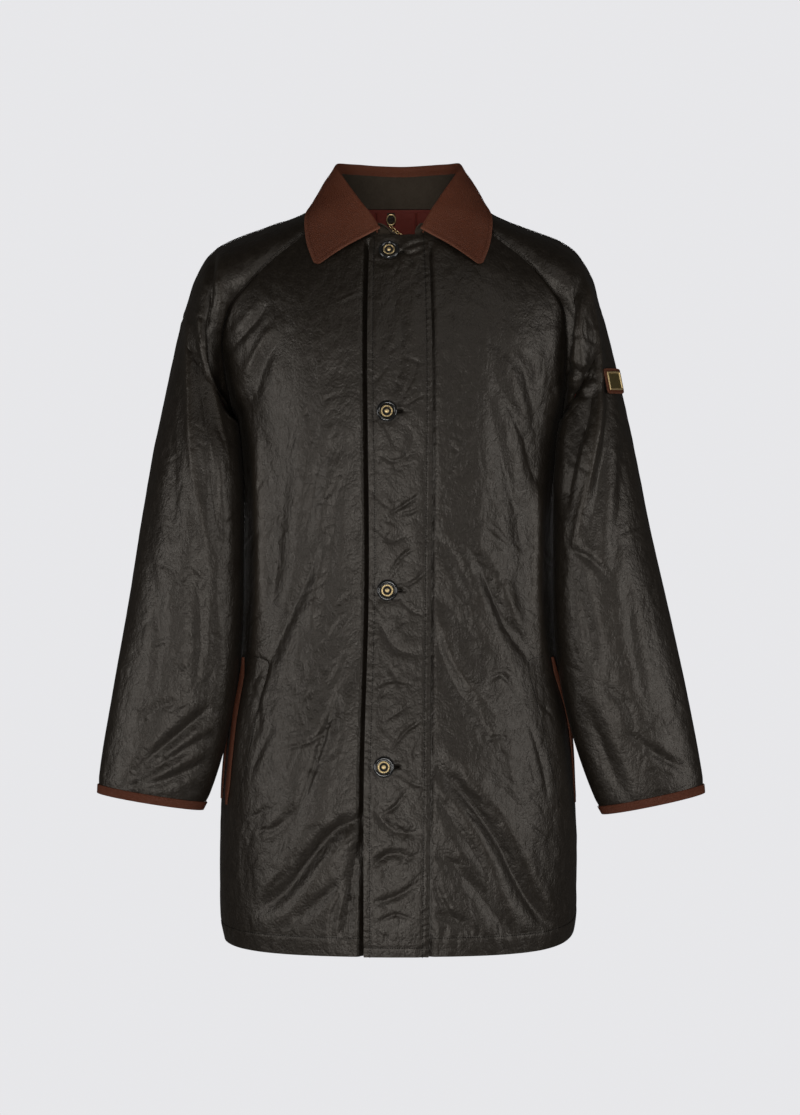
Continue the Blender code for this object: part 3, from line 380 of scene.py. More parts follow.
HEM_FOLDS = 0.25          # share of the folds that runs on into the hem
HEM_FOLDS_RUN = 0.02
BACK_SMOOTH = 0.09        # the back is smooth this far below the neck
BACK_SMOOTH_RUN = 0.05
RELIEF_HEIGHT = 0.004     # folds this high look fully rubbed
Puckers = namedtuple("Puckers", "pitch height place reach")
HEM_PUCKERS = Puckers(0.014, 0.0005, 0.003, 0.012)
PLACKET_PUCKERS = Puckers(0.0082, 0.0004, 0.004, 0.0042)
BUTTON_DIMPLE = 0.0008
BUTTON_FLAT = 0.011       # radius of the flat placket under a button
BUTTON_FLAT_RUN = 0.008
BUTTONHOLE = Fold(2.4, 1.9, ((10, 0), (15, 0.8), (20.5, -0.5)), 1)   # from the button's middle
COLLAR_WAVE = 0.0006
COLLAR_STITCH = 0.0047    # the collar's stitch line inside its edge
COLLAR_STITCH_DIP = 0.0007
COLLAR_STITCH_WIDTH = 0.0013
COLLAR_RUBBED = 0.0032    # width of its rubbed edge
STAND_WAVE = 0.0004
STAND_ROWS = 18
STAND_RUN = 0.006
STAND_INWARD = (0.8, 0.6)

# How far the middle of a wall's edge stands out
CLOTH_RIM = 0.0004
COLLAR_RIM = 0.0006
LEATHER_RIM = 0.0005
TAB_RIM = 0.0003
THIN_RIM = 0.0002

# Edges sharper than these angles, in degrees, aren't shaded smooth
WALL_EDGE_ANGLE = 55
BINDING_EDGE_ANGLE = 50
BUTTON_EDGE_ANGLE = 45

# Grid steps
BODY_STEP = 0.002
BACK_STEP = 0.0034
PLACKET_STEP = 0.0016
COLLAR_STEP = 0.002

SIDES = (("left", 1), ("right", -1))
HALVES = (("front", False), ("back", True))


def length_property(name, description, default):
    """A length that a user would change."""
    return bpy.props.FloatProperty(name=name, description=description, default=default, unit="LENGTH")


def colour_property(name, description, default):
    """A colour that a user would change."""
    return bpy.props.FloatVectorProperty(
        name=name, description=description, default=default, size=3, subtype="COLOR")


class JacketSizes(bpy.types.PropertyGroup):
    """Sizes that a user would change."""

    fold_share: bpy.props.FloatProperty(
        name="Folds", description="Depth of the folds against their listed depth", default=1.2, min=0,
        max=2, subtype="FACTOR")
    crumple: length_property("Crumple", "Height of the small uneven waves in the cloth", 0.0011)
    stitch_pitch: length_property("Stitch pitch", "Distance from one stitch to the next", 0.0027)
    stitch_length: length_property("Stitch length", "Length of one stitch", 0.0018)
    stitch_width: length_property("Thread", "Thickness of the sewing thread", 0.001)


class JacketColours(bpy.types.PropertyGroup):
    """Colours that a user would change."""

    cloth: colour_property("Cloth", "Waxed cotton", (0.0085, 0.0058, 0.0034))
    cloth_worn: colour_property("Worn cloth", "Waxed cotton where folds rub", (0.02, 0.0145, 0.0095))
    # The stand's colour, lighter than the cloth's, is painted light: it shows the inside of the neck lit
    # where the lamps reach little
    stand: colour_property("Stand", "Unrubbed cotton of the collar stand", (0.036, 0.027, 0.019))
    leather: colour_property("Leather", "Collar, bindings and patch", (0.112, 0.033, 0.016))
    leather_edge: colour_property("Leather edge", "Leather where it is rubbed", (0.16, 0.058, 0.032))
    lining: colour_property("Lining", "Lining twill", (0.125, 0.022, 0.015))
    # The cloth's thread is painted near black: painted shade of the holes and grooves along its stitch lines
    thread: colour_property("Thread", "Sewing thread of the cloth", (0.003, 0.0024, 0.0018))
    leather_thread: colour_property("Leather thread", "Sewing thread of the leather", (0.06, 0.02, 0.011))
    button: colour_property("Button", "Button rims", (0.008, 0.008, 0.008))
    brass: colour_property("Brass", "Button middles, plate, rings and chain", (0.9, 0.69, 0.36))
    brass_dark: colour_property("Aged brass", "Ground of the plate", (0.3, 0.23, 0.1))
    floor: colour_property("Floor", "Studio floor", (0.8, 0.8, 0.81))


# Reading the plain form

def unit(vectors):
    """Vectors of length one."""
    return vectors / np.maximum(np.linalg.norm(vectors, axis=-1, keepdims=True), 1e-12)


def ramp(value):
    """Ease from 0 to 1."""
    value = np.clip(value, 0, 1)
    return value * value * (3 - 2 * value)


def bump(offset, width):
    """A soft hump of height one."""
    return np.exp(-(offset / width) ** 2)


def mirrored(grid, side):
    """The grid on the wearer's left (+1) or turned over to the right (-1)."""
    return grid * np.array((side, 1, 1))


def body_angle(x, z):
    """Angle round the body of a place: a right angle at the centre line, 0 at the +X side."""
    share = np.minimum(np.abs(x) / TORSO.at(z).half_width, 1)
    return np.arccos(np.copysign(share ** (ROUNDING / 2), x))


def body_point(angle, z, behind):
    """Points on the body's outer surface at an angle from the side, on the front or the back half."""
    section = TORSO.at(z)
    cosine = np.cos(angle)
    across = np.copysign(np.abs(cosine) ** (2 / ROUNDING), cosine)
    depth = np.abs(np.sin(angle)) ** (2 / ROUNDING)
    y = section.back * depth if behind else -section.front * depth
    return np.stack(np.broadcast_arrays(section.half_width * across, y, z), axis=-1)


def body_lift(x, z, lift, behind):
    """Points a distance outside the unfolded body, and the normals there."""
    step = 0.002

    def place(across, height):
        return body_point(body_angle(across, height), height, behind)

    right = place(x + step, z) - place(x - step, z)
    up = place(x, z + step) - place(x, z - step)
    normal = unit(np.cross(up, right) if behind else np.cross(right, up))
    return place(x, z) + normal * np.asarray(lift)[..., None], normal


def seam_point(along, behind, side):
    """Points on a raglan seam, brought over to +X."""
    seam = (RAGLAN_BACK if behind else RAGLAN_FRONT).at(along)
    x = seam.x - seam.left_in if side > 0 else seam.x
    return body_point(body_angle(x, seam.z), seam.z, behind)


def even_steps(length, step):
    """An even number of steps over a length."""
    return 2 * round(length / step / 2)


def body_grid(side, behind, step):
    """Grid of one body half, hem to neckline, from the centre line to the side and raglan seam."""
    low_rows = even_steps(ARMPIT_Z - HEM_Z, step)
    raglan_rows = even_steps(RAGLAN_LENGTH, step)
    columns = even_steps(0.28, step)
    neck_z = BACK_NECK_Z if behind else FRONT_NECK_Z
    upward = np.concatenate((np.zeros(low_rows), np.linspace(0, 1, raglan_rows + 1)))
    centre_z = np.concatenate((np.linspace(HEM_Z, ARMPIT_Z, low_rows + 1)[:-1],
                               np.linspace(ARMPIT_Z, neck_z, raglan_rows + 1)))
    below = np.clip((ARMPIT_Z - centre_z) / (ARMPIT_Z - HEM_Z), 0, 1)
    sewn = body_point(np.zeros(len(centre_z)), centre_z + HEM_RISE[side] * below, behind)
    sewn[low_rows:] = seam_point(1 - upward[low_rows:], behind, side)
    sewn_angle = body_angle(sewn[:, 0], sewn[:, 2])[:, None]
    first_angle = math.pi / 2
    if not behind:
        first_angle = body_angle(np.full(len(centre_z), FRONT_MEET_X * side), centre_z)[:, None]
    share = np.linspace(0, 1, columns + 1)[None]
    curve = np.where(below > 0, HEM_CURVE, 1 + NECK_CURVE * upward)[:, None]
    z = centre_z[:, None] + (sewn[:, 2] - centre_z)[:, None] * share ** curve
    grid = body_point(first_angle + (sewn_angle - first_angle) * share, z, behind)
    grid[:, -1] = sewn
    return mirrored(grid, side)


def sleeve_section(along, behind, side):
    """Middle, reach to the overarm seam, bulge, turn and lower seam of sections, brought over to +X."""
    section = SLEEVE.at(along)
    top_x = section.top_x - section.left_in if side > 0 else section.top_x
    top = np.stack((top_x, section.top_y, section.top_z), axis=-1)
    under = UNDERARM.at(along)
    left = max(side, 0)
    under = np.stack((under.x + left * under.left_out, under.y, under.z - left * under.left_down), axis=-1)
    on_seam = np.asarray(along)[..., None] <= 1
    low = np.where(on_seam, seam_point(np.minimum(along, 1), behind, side), under)
    turn = np.radians(section.turn)[..., None]
    depth = section.back_bulge if behind else -section.front_bulge
    bulge = np.stack((0 * depth, depth, 0 * depth), axis=-1)
    reach = (top - low + bulge * np.sin(turn)) / (1 - np.cos(turn))
    return top - reach, reach, bulge, turn, low


def armpit_shift(along, turn_share):
    """How far the cloth below the armpit moves."""
    close = ARMPIT_CLOSE.at(along)
    near = ramp((np.asarray(turn_share) - ARMPIT_CLOSE_FROM) / (1 - ARMPIT_CLOSE_FROM))
    return np.stack((close.x, close.y, close.z), axis=-1) * near[..., None]


def clear_of_body(places):
    """Places brought over to +X and moved out of the body's side."""
    section = TORSO.at(places[..., 2])
    y = places[..., 1]
    depth = np.abs(y) / np.where(y < 0, section.front, section.back)
    least = section.half_width * np.maximum(1 - depth**ROUNDING, 0) ** (1 / ROUNDING) + ARMPIT_CLEAR
    clear = places.copy()
    clear[..., 0] = np.maximum(places[..., 0], least)
    return clear


def sleeve_point(along, turn_share, behind, side):
    """Points on a sleeve's outer surface, brought over to +X."""
    middle, reach, bulge, turn, low = sleeve_section(along, behind, side)
    angle = turn * np.asarray(turn_share)[..., None]
    return middle + reach * np.cos(angle) + bulge * np.sin(angle) + armpit_shift(along, turn_share)


def sleeve_grid(side, behind, step):
    """One half of a sleeve, neck to cuff, from the overarm seam to the raglan and underarm seam."""
    along = np.concatenate((np.linspace(0, 1, even_steps(RAGLAN_LENGTH, step) + 1)[:-1],
                            np.linspace(1, 2, even_steps(0.5, step) + 1)))
    share = np.linspace(0, 1, even_steps(0.19, step) + 1)
    along, share = np.meshgrid(along, share, indexing="ij")
    grid = sleeve_point(along, share, behind, side)
    grid[:, -1] = sleeve_section(along[:, 0], behind, side)[4] + armpit_shift(along[:, 0], share[:, -1])
    armpit = (along > 1) & (along < ARMPIT_CLOSE.rows[-2].along)
    grid[armpit] = clear_of_body(grid[armpit])
    return mirrored(grid, side)


# Cloth on grids of points

def grid_normals(grid, middle):
    """Unit normals of a grid that point away from its middle."""
    normals = unit(np.cross(np.gradient(grid, axis=1), np.gradient(grid, axis=0)))
    outward = np.sum(normals * (grid - np.asarray(middle)))
    return normals if outward > 0 else -normals


def runs(grid, axis):
    """How far each point of a grid lies along it, down its columns (0) or along its rows (1)."""
    return np.linalg.norm(np.diff(grid, axis=axis, prepend=grid.take([0], axis)), axis=2).cumsum(axis=axis)


def waves(points, size, stretch, seed):
    """Soft uneven waves of about one size, longer in height by a stretch, from -1 to 1."""
    shift = Vector((seed * 7.31, seed * 3.77, seed * 5.13))
    scale = np.array((1, 1, 1 / stretch)) / size
    flat = (points * scale).reshape(-1, 3)
    values = [noise.noise(Vector(point) + shift) for point in flat]
    return np.array(values).reshape(points.shape[:2])


class Panel:
    """A piece of cloth: a grid of points on its plain form, and how far folds lift it off that."""

    def __init__(self, grid, middle):
        self.grid = grid
        self.middle = middle
        self.normals = grid_normals(grid, middle)
        across, along = runs(grid, 1), runs(grid, 0)
        self.from_first, self.from_last = across, across[:, -1:] - across
        self.from_start, self.from_end = along, along[-1:] - along
        self.height = np.zeros(grid.shape[:2])
        self.cloth = grid

    @property
    def x(self):
        return self.grid[..., 0]

    @property
    def z(self):
        return self.grid[..., 2]

    @property
    def uv(self):
        return np.stack((self.from_first, self.from_start), axis=-1)

    @property
    def inset(self):
        return np.minimum(self.from_end, np.minimum(self.from_first, self.from_last))

    def settle(self):
        """Move the cloth by its height."""
        self.cloth = self.grid + self.normals * self.height[..., None]
        self.normals = grid_normals(self.cloth, self.middle)

    def cut_size(self):
        """Width, length and area of the piece laid flat."""
        sides = np.gradient(self.grid, axis=1), np.gradient(self.grid, axis=0)
        area = np.linalg.norm(np.cross(*sides)[:-1, :-1], axis=2).sum()
        width, length = self.from_first.max(), self.from_start.max()
        return (width, length), min(area, width * length)


def fold_height(folds, x, z):
    """How far folds move the cloth out at places of the front view."""
    height = np.zeros(x.shape)
    for fold in folds:
        width = fold.half_width * MM
        places = np.array(fold.places) * MM
        steps = np.linspace(0, len(places) - 1, FOLD_SAMPLES)
        path = smooth_through(np.arange(len(places)), places, steps)
        reach = FOLD_REACH * width
        low, high = path.min(axis=0) - reach, path.max(axis=0) + reach
        near = (x > low[0]) & (x < high[0]) & (z > low[1]) & (z < high[1])
        if not near.any():
            continue
        spots = np.stack((x[near], z[near]), axis=-1)
        spans = np.diff(path, axis=0)
        offsets = spots[:, None] - path[None, :-1]
        share = np.clip((offsets * spans).sum(axis=2) / (spans**2).sum(axis=1), 0, 1)
        offsets = offsets - share[..., None] * spans
        lengths = np.linalg.norm(offsets, axis=2)
        nearest = lengths.argmin(axis=1)
        pick = np.arange(len(spots)), nearest
        distance, offset, ahead = lengths[pick], offsets[pick], spans[nearest]
        left = np.sign(ahead[:, 0] * offset[:, 1] - ahead[:, 1] * offset[:, 0])
        run = (nearest + share[pick]) / len(spans)
        taper = np.sin(math.pi * (0.02 + 0.96 * run)) ** 0.6
        trough = bump(distance, width)
        crease = np.exp(-CREASE_FALL * (np.hypot(distance / width, CREASE_ROUND) - CREASE_ROUND))
        shape = -trough - (crease - trough) * fold.sharp
        shape += FOLD_SHOULDER * bump(left * distance - 2 * width, 1.1 * width)
        shape += 0.5 * FOLD_SHOULDER * bump(left * distance + 2 * width, 1.1 * width)
        height[near] += fold.depth * MM * taper * shape
    return height


def small_creases(seed, count, lean, spot):
    """Short thin creases scattered over a stretch of cloth, leaning one way or, with no lean, both ways."""
    draw = random.Random(seed)
    creases = []
    for _ in range(count):
        x, z = spot(draw)
        angle = math.radians(draw.uniform(20, 80))
        length = draw.uniform(5, 20)
        way = lean or draw.choice((-1, 1))
        dx, dz = way * length * math.cos(angle), length * math.sin(angle)
        bend = draw.uniform(-0.25, 0.25) * length
        places = ((x - dx, z - dz), (x + bend, z), (x + dx, z + dz))
        creases.append(Fold(draw.uniform(0.3, 0.9), draw.uniform(1.5, 3), places, 0.8))
    return tuple(creases)


def body_spot(side):
    """A picker of places, in millimetres, on one side of the body or on both (0)."""
    reach = {1: (45, 180), -1: (-180, -45), 0: (-170, 170)}[side]
    return lambda draw: (draw.uniform(*reach), draw.uniform(-825, -215))


def placket_spot(draw):
    """A place on the placket, in millimetres."""
    return draw.uniform(-28, 26), draw.uniform(-845, -60)


def sleeve_spot(side):
    """A picker of places, in millimetres, on the front of a sleeve."""
    def spot(draw):
        place = sleeve_point(draw.uniform(0.75, 1.95), draw.uniform(0.2, 0.8), False, side)
        return side * place[0] / MM, place[2] / MM
    return spot


def share_normals(panels):
    """Give points where panels meet one common normal, so that their walls are mitred."""
    keys = []
    sums = {}
    for panel in panels:
        border = np.zeros(panel.cloth.shape[:2], dtype=bool)
        border[[0, -1]] = True
        border[:, [0, -1]] = True
        names = [tuple(point) for point in np.round(panel.cloth[border], 5)]
        keys.append((border, names))
        for name, normal in zip(names, panel.normals[border]):
            sums[name] = sums.get(name, 0) + normal
    for panel, (border, names) in zip(panels, keys):
        panel.normals[border] = unit(np.array([sums[name] for name in names]))


def pulled_back(grid, pull):
    """The grid with its border moved in, clear of the seam lines."""
    result = grid.copy()
    result[0] += unit(grid[1] - grid[0]) * pull
    result[-1] += unit(grid[-2] - grid[-1]) * pull
    result[:, 0] += unit(grid[:, 1] - grid[:, 0]) * pull
    result[:, -1] += unit(grid[:, -2] - grid[:, -1]) * pull
    return result


def line_inside(grid, border, inset):
    """Points of a grid at an inset from one of its borders."""
    turned = {
        "first_row": grid,
        "last_row": grid[::-1],
        "first_column": grid.swapaxes(0, 1),
        "last_column": grid.swapaxes(0, 1)[::-1],
    }[border]
    from_border = runs(turned, 0)
    return np.array([[np.interp(inset, from_border[:, column], turned[:, column, axis]) for axis in range(3)]
                     for column in range(turned.shape[1])])


# Meshes

def new_object(name, data):
    """An object put in the scene."""
    item = bpy.data.objects.new(name, data)
    bpy.context.scene.collection.objects.link(item)
    return item


def mesh_object(name, points, faces, materials):
    """A smooth object with its materials."""
    mesh = bpy.data.meshes.new(name)
    mesh.from_pydata([tuple(point) for point in points], [], [tuple(face) for face in faces])
    for material in materials:
        mesh.materials.append(material)
    mesh.shade_smooth()
    return new_object(name, mesh)


def grid_quads(index):
    """Faces between the numbered points of a grid."""
    return np.stack((index[:-1, :-1], index[:-1, 1:], index[1:, 1:], index[1:, :-1]), axis=-1).reshape(-1, 4)


def grid_border(index, inset=0):
    """Numbers round a grid's border, or of the points an inset inside each of them."""
    low, high = inset, -1 - inset
    return np.concatenate((index[low], index[1:, high], index[high, -2::-1], index[-2:0:-1, low]))


def wall_object(name, outer, inner, materials, uv=None, relief=None, rim=0, skip=1):
    """A closed wall between two grids, the inner one read at every skip-th point, with the cloth coordinates
    and the relief that its materials read."""
    index = np.arange(outer[..., 0].size).reshape(outer.shape[:2])
    kept = index[::skip, ::skip]
    below = np.arange(kept.size).reshape(kept.shape) + index.size
    quads, inner_quads = grid_quads(index), grid_quads(below)[:, ::-1]
    border, low_border = grid_border(index), grid_border(below)
    points = [outer.reshape(-1, 3), inner[::skip, ::skip].reshape(-1, 3)]
    spread = [index.ravel(), kept.ravel()]
    if rim:
        middle = (points[0] + points[1]) / 2
        edge = np.arange(len(border)) + 2 * index.size
        points.append(middle[border] + unit(middle[border] - middle[grid_border(index, 1)]) * rim)
        spread.append(border)
        follow, edge_follow, low_follow = (np.roll(row, -1) for row in (border, edge, low_border))
        rim_faces = [np.stack((follow, border, edge, edge_follow), axis=-1),
                     np.stack((edge_follow, edge, low_border, low_follow), axis=-1)]
    else:
        runs = [np.roll(border, -step)[::skip] for step in range(skip, -1, -1)]
        rim_faces = [np.stack(runs + [low_border, np.roll(low_border, -1)], axis=-1)]
    faces = [face for part in (quads, inner_quads, *rim_faces) for face in part.tolist()]
    points = np.concatenate(points)
    spread = np.concatenate(spread)
    corner = points[quads[0]]
    facing = np.cross(corner[1] - corner[0], corner[3] - corner[0])
    if np.dot(facing, corner[0] - points[index.size]) < 0:
        faces = [face[::-1] for face in faces]
    item = mesh_object(name, points, faces, materials)
    mesh = item.data
    if len(materials) > 1:
        slots = np.zeros(len(faces), dtype=np.int32)
        slots[len(quads):len(quads) + len(inner_quads)] = 1
        mesh.polygons.foreach_set("material_index", slots)
    corners = np.empty(len(mesh.loops), dtype=np.int32)
    mesh.loops.foreach_get("vertex_index", corners)
    if uv is not None:
        flat = uv.reshape(-1, 2)[spread]
        mesh.uv_layers.new(name="cloth").data.foreach_set("uv", flat[corners].ravel())
    if relief is not None:
        layer = mesh.attributes.new("relief", "FLOAT", "POINT")
        layer.data.foreach_set("value", relief.ravel()[spread].astype(np.float32))
    mesh.set_sharp_from_angle(angle=math.radians(WALL_EDGE_ANGLE))
    return item


def panel_wall(name, panel, thickness, material, relief=None, rim=0):
    """The even wall of a settled panel in one material."""
    inner = panel.cloth - panel.normals * thickness
    return wall_object(name, panel.cloth, inner, (material,), panel.uv, relief, rim)


def swept_object(name, rings, materials):
    """A closed ring swept through a row of equal sections, the last one joined to the first."""
    steps, sides = rings.shape[:2]
    index = np.arange(steps * sides).reshape(steps, sides)
    right = np.roll(index, -1, axis=1)
    ahead = np.roll(index, -1, axis=0)
    faces = np.stack((index, right, np.roll(right, -1, axis=0), ahead), axis=-1).reshape(-1, 4)
    item = mesh_object(name, rings.reshape(-1, 3), faces, materials)
    face_outward(item.data)
    return item


def face_outward(mesh):
    """Turn a closed mesh's faces outward."""
    shape = bmesh.new()
    shape.from_mesh(mesh)
    bmesh.ops.recalc_face_normals(shape, faces=shape.faces)
    shape.to_mesh(mesh)
    shape.free()


def dress(item, nodes=()):
    """Let a piece ride on the jacket and stand for solids, which it hides."""
    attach(item, "root")
    if nodes:
        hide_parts(*nodes)


def dress_sheet(item, node, cut):
    """Dress a piece that is a sheet; the size it was cut to is not used."""
    dress(item, (node,))


# Node trees

METAL_SHINE = {"brass": 0.42, "brass_dark": 0.38}


def place_node(tree, kind, inputs=None, **settings):
    """A node with its settings and inputs, each a value or another node's socket."""
    node = tree.nodes.new(kind)
    for name, value in settings.items():
        setattr(node, name, value)
    for key, value in (inputs or {}).items():
        if isinstance(value, bpy.types.NodeSocket):
            tree.links.new(value, node.inputs[key])
        else:
            node.inputs[key].default_value = value
    return node


def math_node(tree, operation, first, second=0):
    """Value of a sum on two values or sockets."""
    return place_node(tree, "ShaderNodeMath", {0: first, 1: second}, operation=operation).outputs[0]


def map_range(tree, value, low, high, to_low, to_high):
    """A value moved from one range to another, held inside it."""
    inputs = {"Value": value, "From Min": low, "From Max": high, "To Min": to_low, "To Max": to_high}
    return place_node(tree, "ShaderNodeMapRange", inputs).outputs["Result"]


def mix_colour(tree, share, first, second):
    """Colour between two."""
    inputs = {0: share, 6: first, 7: second}
    return place_node(tree, "ShaderNodeMix", inputs, data_type="RGBA").outputs[2]


def new_group(name, kind, inputs, outputs):
    """An empty node group with named sockets: its tree, its input node and its output node."""
    tree = bpy.data.node_groups.new(name, kind)
    for way, sockets in (("INPUT", inputs), ("OUTPUT", outputs)):
        for label, socket in sockets.items():
            tree.interface.new_socket(label, in_out=way, socket_type="NodeSocket" + socket)
    return tree, tree.nodes.new("NodeGroupInput"), tree.nodes.new("NodeGroupOutput")


def use_group(tree, group, inputs):
    """A node group placed in a material, with its values."""
    return place_node(tree, "ShaderNodeGroup", inputs, node_tree=group)


def link_to(tree, node, sockets):
    """Link sockets to a node's named inputs."""
    for name, socket in sockets.items():
        tree.links.new(socket, node.inputs[name])


def noise_node(tree, vector, scale, detail=2, roughness=0.5, **settings):
    """Uneven noise at places."""
    inputs = {"Vector": vector, "Scale": scale, "Detail": detail, "Roughness": roughness}
    return place_node(tree, "ShaderNodeTexNoise", inputs, **settings).outputs["Fac"]


def scale_node(tree, vector, scale):
    """A vector made longer."""
    inputs = {0: vector, "Scale": scale}
    return place_node(tree, "ShaderNodeVectorMath", inputs, operation="SCALE").outputs[0]


def weighted_sum(tree, *parts):
    """The sum of sockets, each with its weight."""
    weighted = [math_node(tree, "MULTIPLY", socket, weight) for socket, weight in parts]
    return functools.reduce(lambda total, part: math_node(tree, "ADD", total, part), weighted)


@functools.cache
def weave_group():
    """Threads of a woven cloth over its own coordinates."""
    tree, start, end = new_group("Weave", "ShaderNodeTree", {"Vector": "Vector", "Threads": "Float"},
                                 {"Height": "Float", "Slub": "Float"})
    scaled = scale_node(tree, start.outputs["Vector"], start.outputs["Threads"])
    split = place_node(tree, "ShaderNodeSeparateXYZ", {0: scaled})
    across, along = (math_node(tree, "SINE", math_node(tree, "MULTIPLY", split.outputs[axis], math.pi))
                     for axis in "XY")
    crossing = math_node(tree, "MULTIPLY", across, along)
    link_to(tree, end, {"Height": map_range(tree, crossing, -1, 1, 0, 1),
                        "Slub": noise_node(tree, scaled, 0.13, 3)})
    return tree


@functools.cache
def crumple_group():
    """Soft waves of waxed cloth, longer down the cloth than across it, with fine creases and mottle."""
    tree, start, end = new_group("Crumple", "ShaderNodeTree", {"Vector": "Vector", "Scale": "Float"},
                                 {"Height": "Float", "Mottle": "Float"})
    places = []
    for stretch in (0.4, 0.8):
        long = place_node(tree, "ShaderNodeVectorMath", {
            0: start.outputs["Vector"], 1: (1, 1, stretch)}, operation="MULTIPLY")
        places.append(scale_node(tree, long.outputs[0], start.outputs["Scale"]))
    wide = noise_node(tree, places[0], 1)
    small = noise_node(tree, places[1], 3.6)
    fine = noise_node(tree, places[1], 13)
    creases = noise_node(tree, places[1], 1.5, 1, 0.4, noise_type="RIDGED_MULTIFRACTAL", normalize=True)
    link_to(tree, end, {
        "Height": weighted_sum(tree, (wide, 1), (small, 0.4), (fine, 0.2), (creases, -0.3)),
        "Mottle": weighted_sum(tree, (small, 0.45), (fine, 0.55))})
    return tree


@functools.cache
def wear_group():
    """Colour and gloss of a surface that is rubbed where it stands out and dull where it is mottled."""
    tree, start, end = new_group(
        "Wear", "ShaderNodeTree", {"Colour": "Color", "Worn Colour": "Color", "Relief": "Float",
                                   "Mottle": "Float", "Roughness": "Float"},
        {"Colour": "Color", "Roughness": "Float"})
    given = start.outputs
    rubbed = map_range(tree, given["Relief"], 0, 1, 0, 0.75)
    mottled = map_range(tree, given["Mottle"], 0.4, 0.72, 0, 0.4)
    share = math_node(tree, "ADD", math_node(tree, "MULTIPLY", rubbed, 0.8), mottled)
    change = map_range(tree, given["Mottle"], 0.3, 0.7, -0.06, 0.07)
    link_to(tree, end, {"Colour": mix_colour(tree, share, given["Colour"], given["Worn Colour"]),
                        "Roughness": math_node(tree, "ADD", given["Roughness"], change)})
    return tree


@functools.cache
def grain_group():
    """Pebbles of grained leather."""
    tree, start, end = new_group("Grain", "ShaderNodeTree", {"Vector": "Vector", "Scale": "Float"},
                                 {"Height": "Float", "Mottle": "Float"})
    scaled = scale_node(tree, start.outputs["Vector"], start.outputs["Scale"])
    cells = place_node(tree, "ShaderNodeTexVoronoi", {"Vector": scaled, "Scale": 1},
                       feature="DISTANCE_TO_EDGE")
    pebble = map_range(tree, cells.outputs["Distance"], 0, 0.35, 0, 1)
    mottle = noise_node(tree, scaled, 0.06, 6, 0.62)
    link_to(tree, end, {"Height": weighted_sum(tree, (pebble, 1), (mottle, 1.5)),
                        "Mottle": weighted_sum(tree, (mottle, 0.7), (pebble, 0.28))})
    return tree


def new_material(name, constants):
    """An empty node material: its tree and its Principled shader with constant values."""
    material = bpy.data.materials.new(name)
    material.use_nodes = True
    shader = material.node_tree.nodes["Principled BSDF"]
    for key, value in constants.items():
        shader.inputs[key].default_value = value
    return material, material.node_tree, shader


def bump_normal(tree, shader, height, distance, strength=1, under=None):
    """Link a height to the shader's normal."""
    inputs = {"Height": height, "Distance": distance, "Strength": strength}
    if under is not None:
        inputs["Normal"] = under
    normal = place_node(tree, "ShaderNodeBump", inputs).outputs["Normal"]
    tree.links.new(normal, shader.inputs["Normal"])
    return normal


def rgba(colour, factor=1):
    """A colour property made darker or lighter, with full alpha."""
    return (*(min(factor * part, 1) for part in colour), 1)


@functools.cache
def waxed_cotton(dull=False):
    """Dark waxed cotton with a satin sheen, rubbed on its folds, or, when dull, the collar stand's matt
    cotton, whose lighter colour is painted light that shows the inside of the neck lit.
    """
    colours = bpy.context.scene.jacket_colours
    material, tree, shader = new_material("dull_cotton" if dull else "waxed_cotton", {
        "Specular IOR Level": 0.2 if dull else 0.56, "Specular Tint": (1, 0.92, 0.83, 1),
        "Sheen Weight": 0.03, "Sheen Roughness": 0.5, "Sheen Tint": (0.8, 0.74, 0.66, 1)})
    where = place_node(tree, "ShaderNodeTexCoord")
    relief = place_node(tree, "ShaderNodeAttribute", attribute_name="relief")
    crumple = use_group(tree, crumple_group(), {"Vector": where.outputs["Object"], "Scale": 34})
    weave = use_group(tree, weave_group(), {"Vector": where.outputs["UV"], "Threads": 1700})
    wear = use_group(tree, wear_group(), {
        # On the stand the colour is painted lighter, as painted light inside the neck
        "Colour": rgba(colours.stand if dull else colours.cloth), "Worn Colour": rgba(colours.cloth_worn),
        "Relief": relief.outputs["Fac"], "Mottle": crumple.outputs["Mottle"],
        "Roughness": 0.86 if dull else 0.43})
    link_to(tree, shader, {"Base Color": wear.outputs["Colour"], "Roughness": wear.outputs["Roughness"]})
    soft = bump_normal(tree, shader, crumple.outputs["Height"], 0.0004 if dull else 0.0025)
    bump_normal(tree, shader, weave.outputs["Height"], 0.00005, 0.6, soft)
    return material


@functools.cache
def lining_twill():
    """Smooth burgundy lining."""
    lining = bpy.context.scene.jacket_colours.lining
    material, tree, shader = new_material("lining_cloth", {
        "Specular IOR Level": 0.2, "Sheen Weight": 0.05, "Sheen Roughness": 0.4})
    where = place_node(tree, "ShaderNodeTexCoord")
    crumple = use_group(tree, crumple_group(), {"Vector": where.outputs["Object"], "Scale": 50})
    weave = use_group(tree, weave_group(), {"Vector": where.outputs["UV"], "Threads": 2400})
    link_to(tree, shader, {
        "Base Color": mix_colour(tree, crumple.outputs["Mottle"], rgba(lining, 0.7), rgba(lining)),
        "Roughness": map_range(tree, weave.outputs["Slub"], 0.3, 0.7, 0.48, 0.62)})
    soft = bump_normal(tree, shader, crumple.outputs["Height"], 0.0012)
    bump_normal(tree, shader, weave.outputs["Height"], 0.00005, 0.8, soft)
    return material


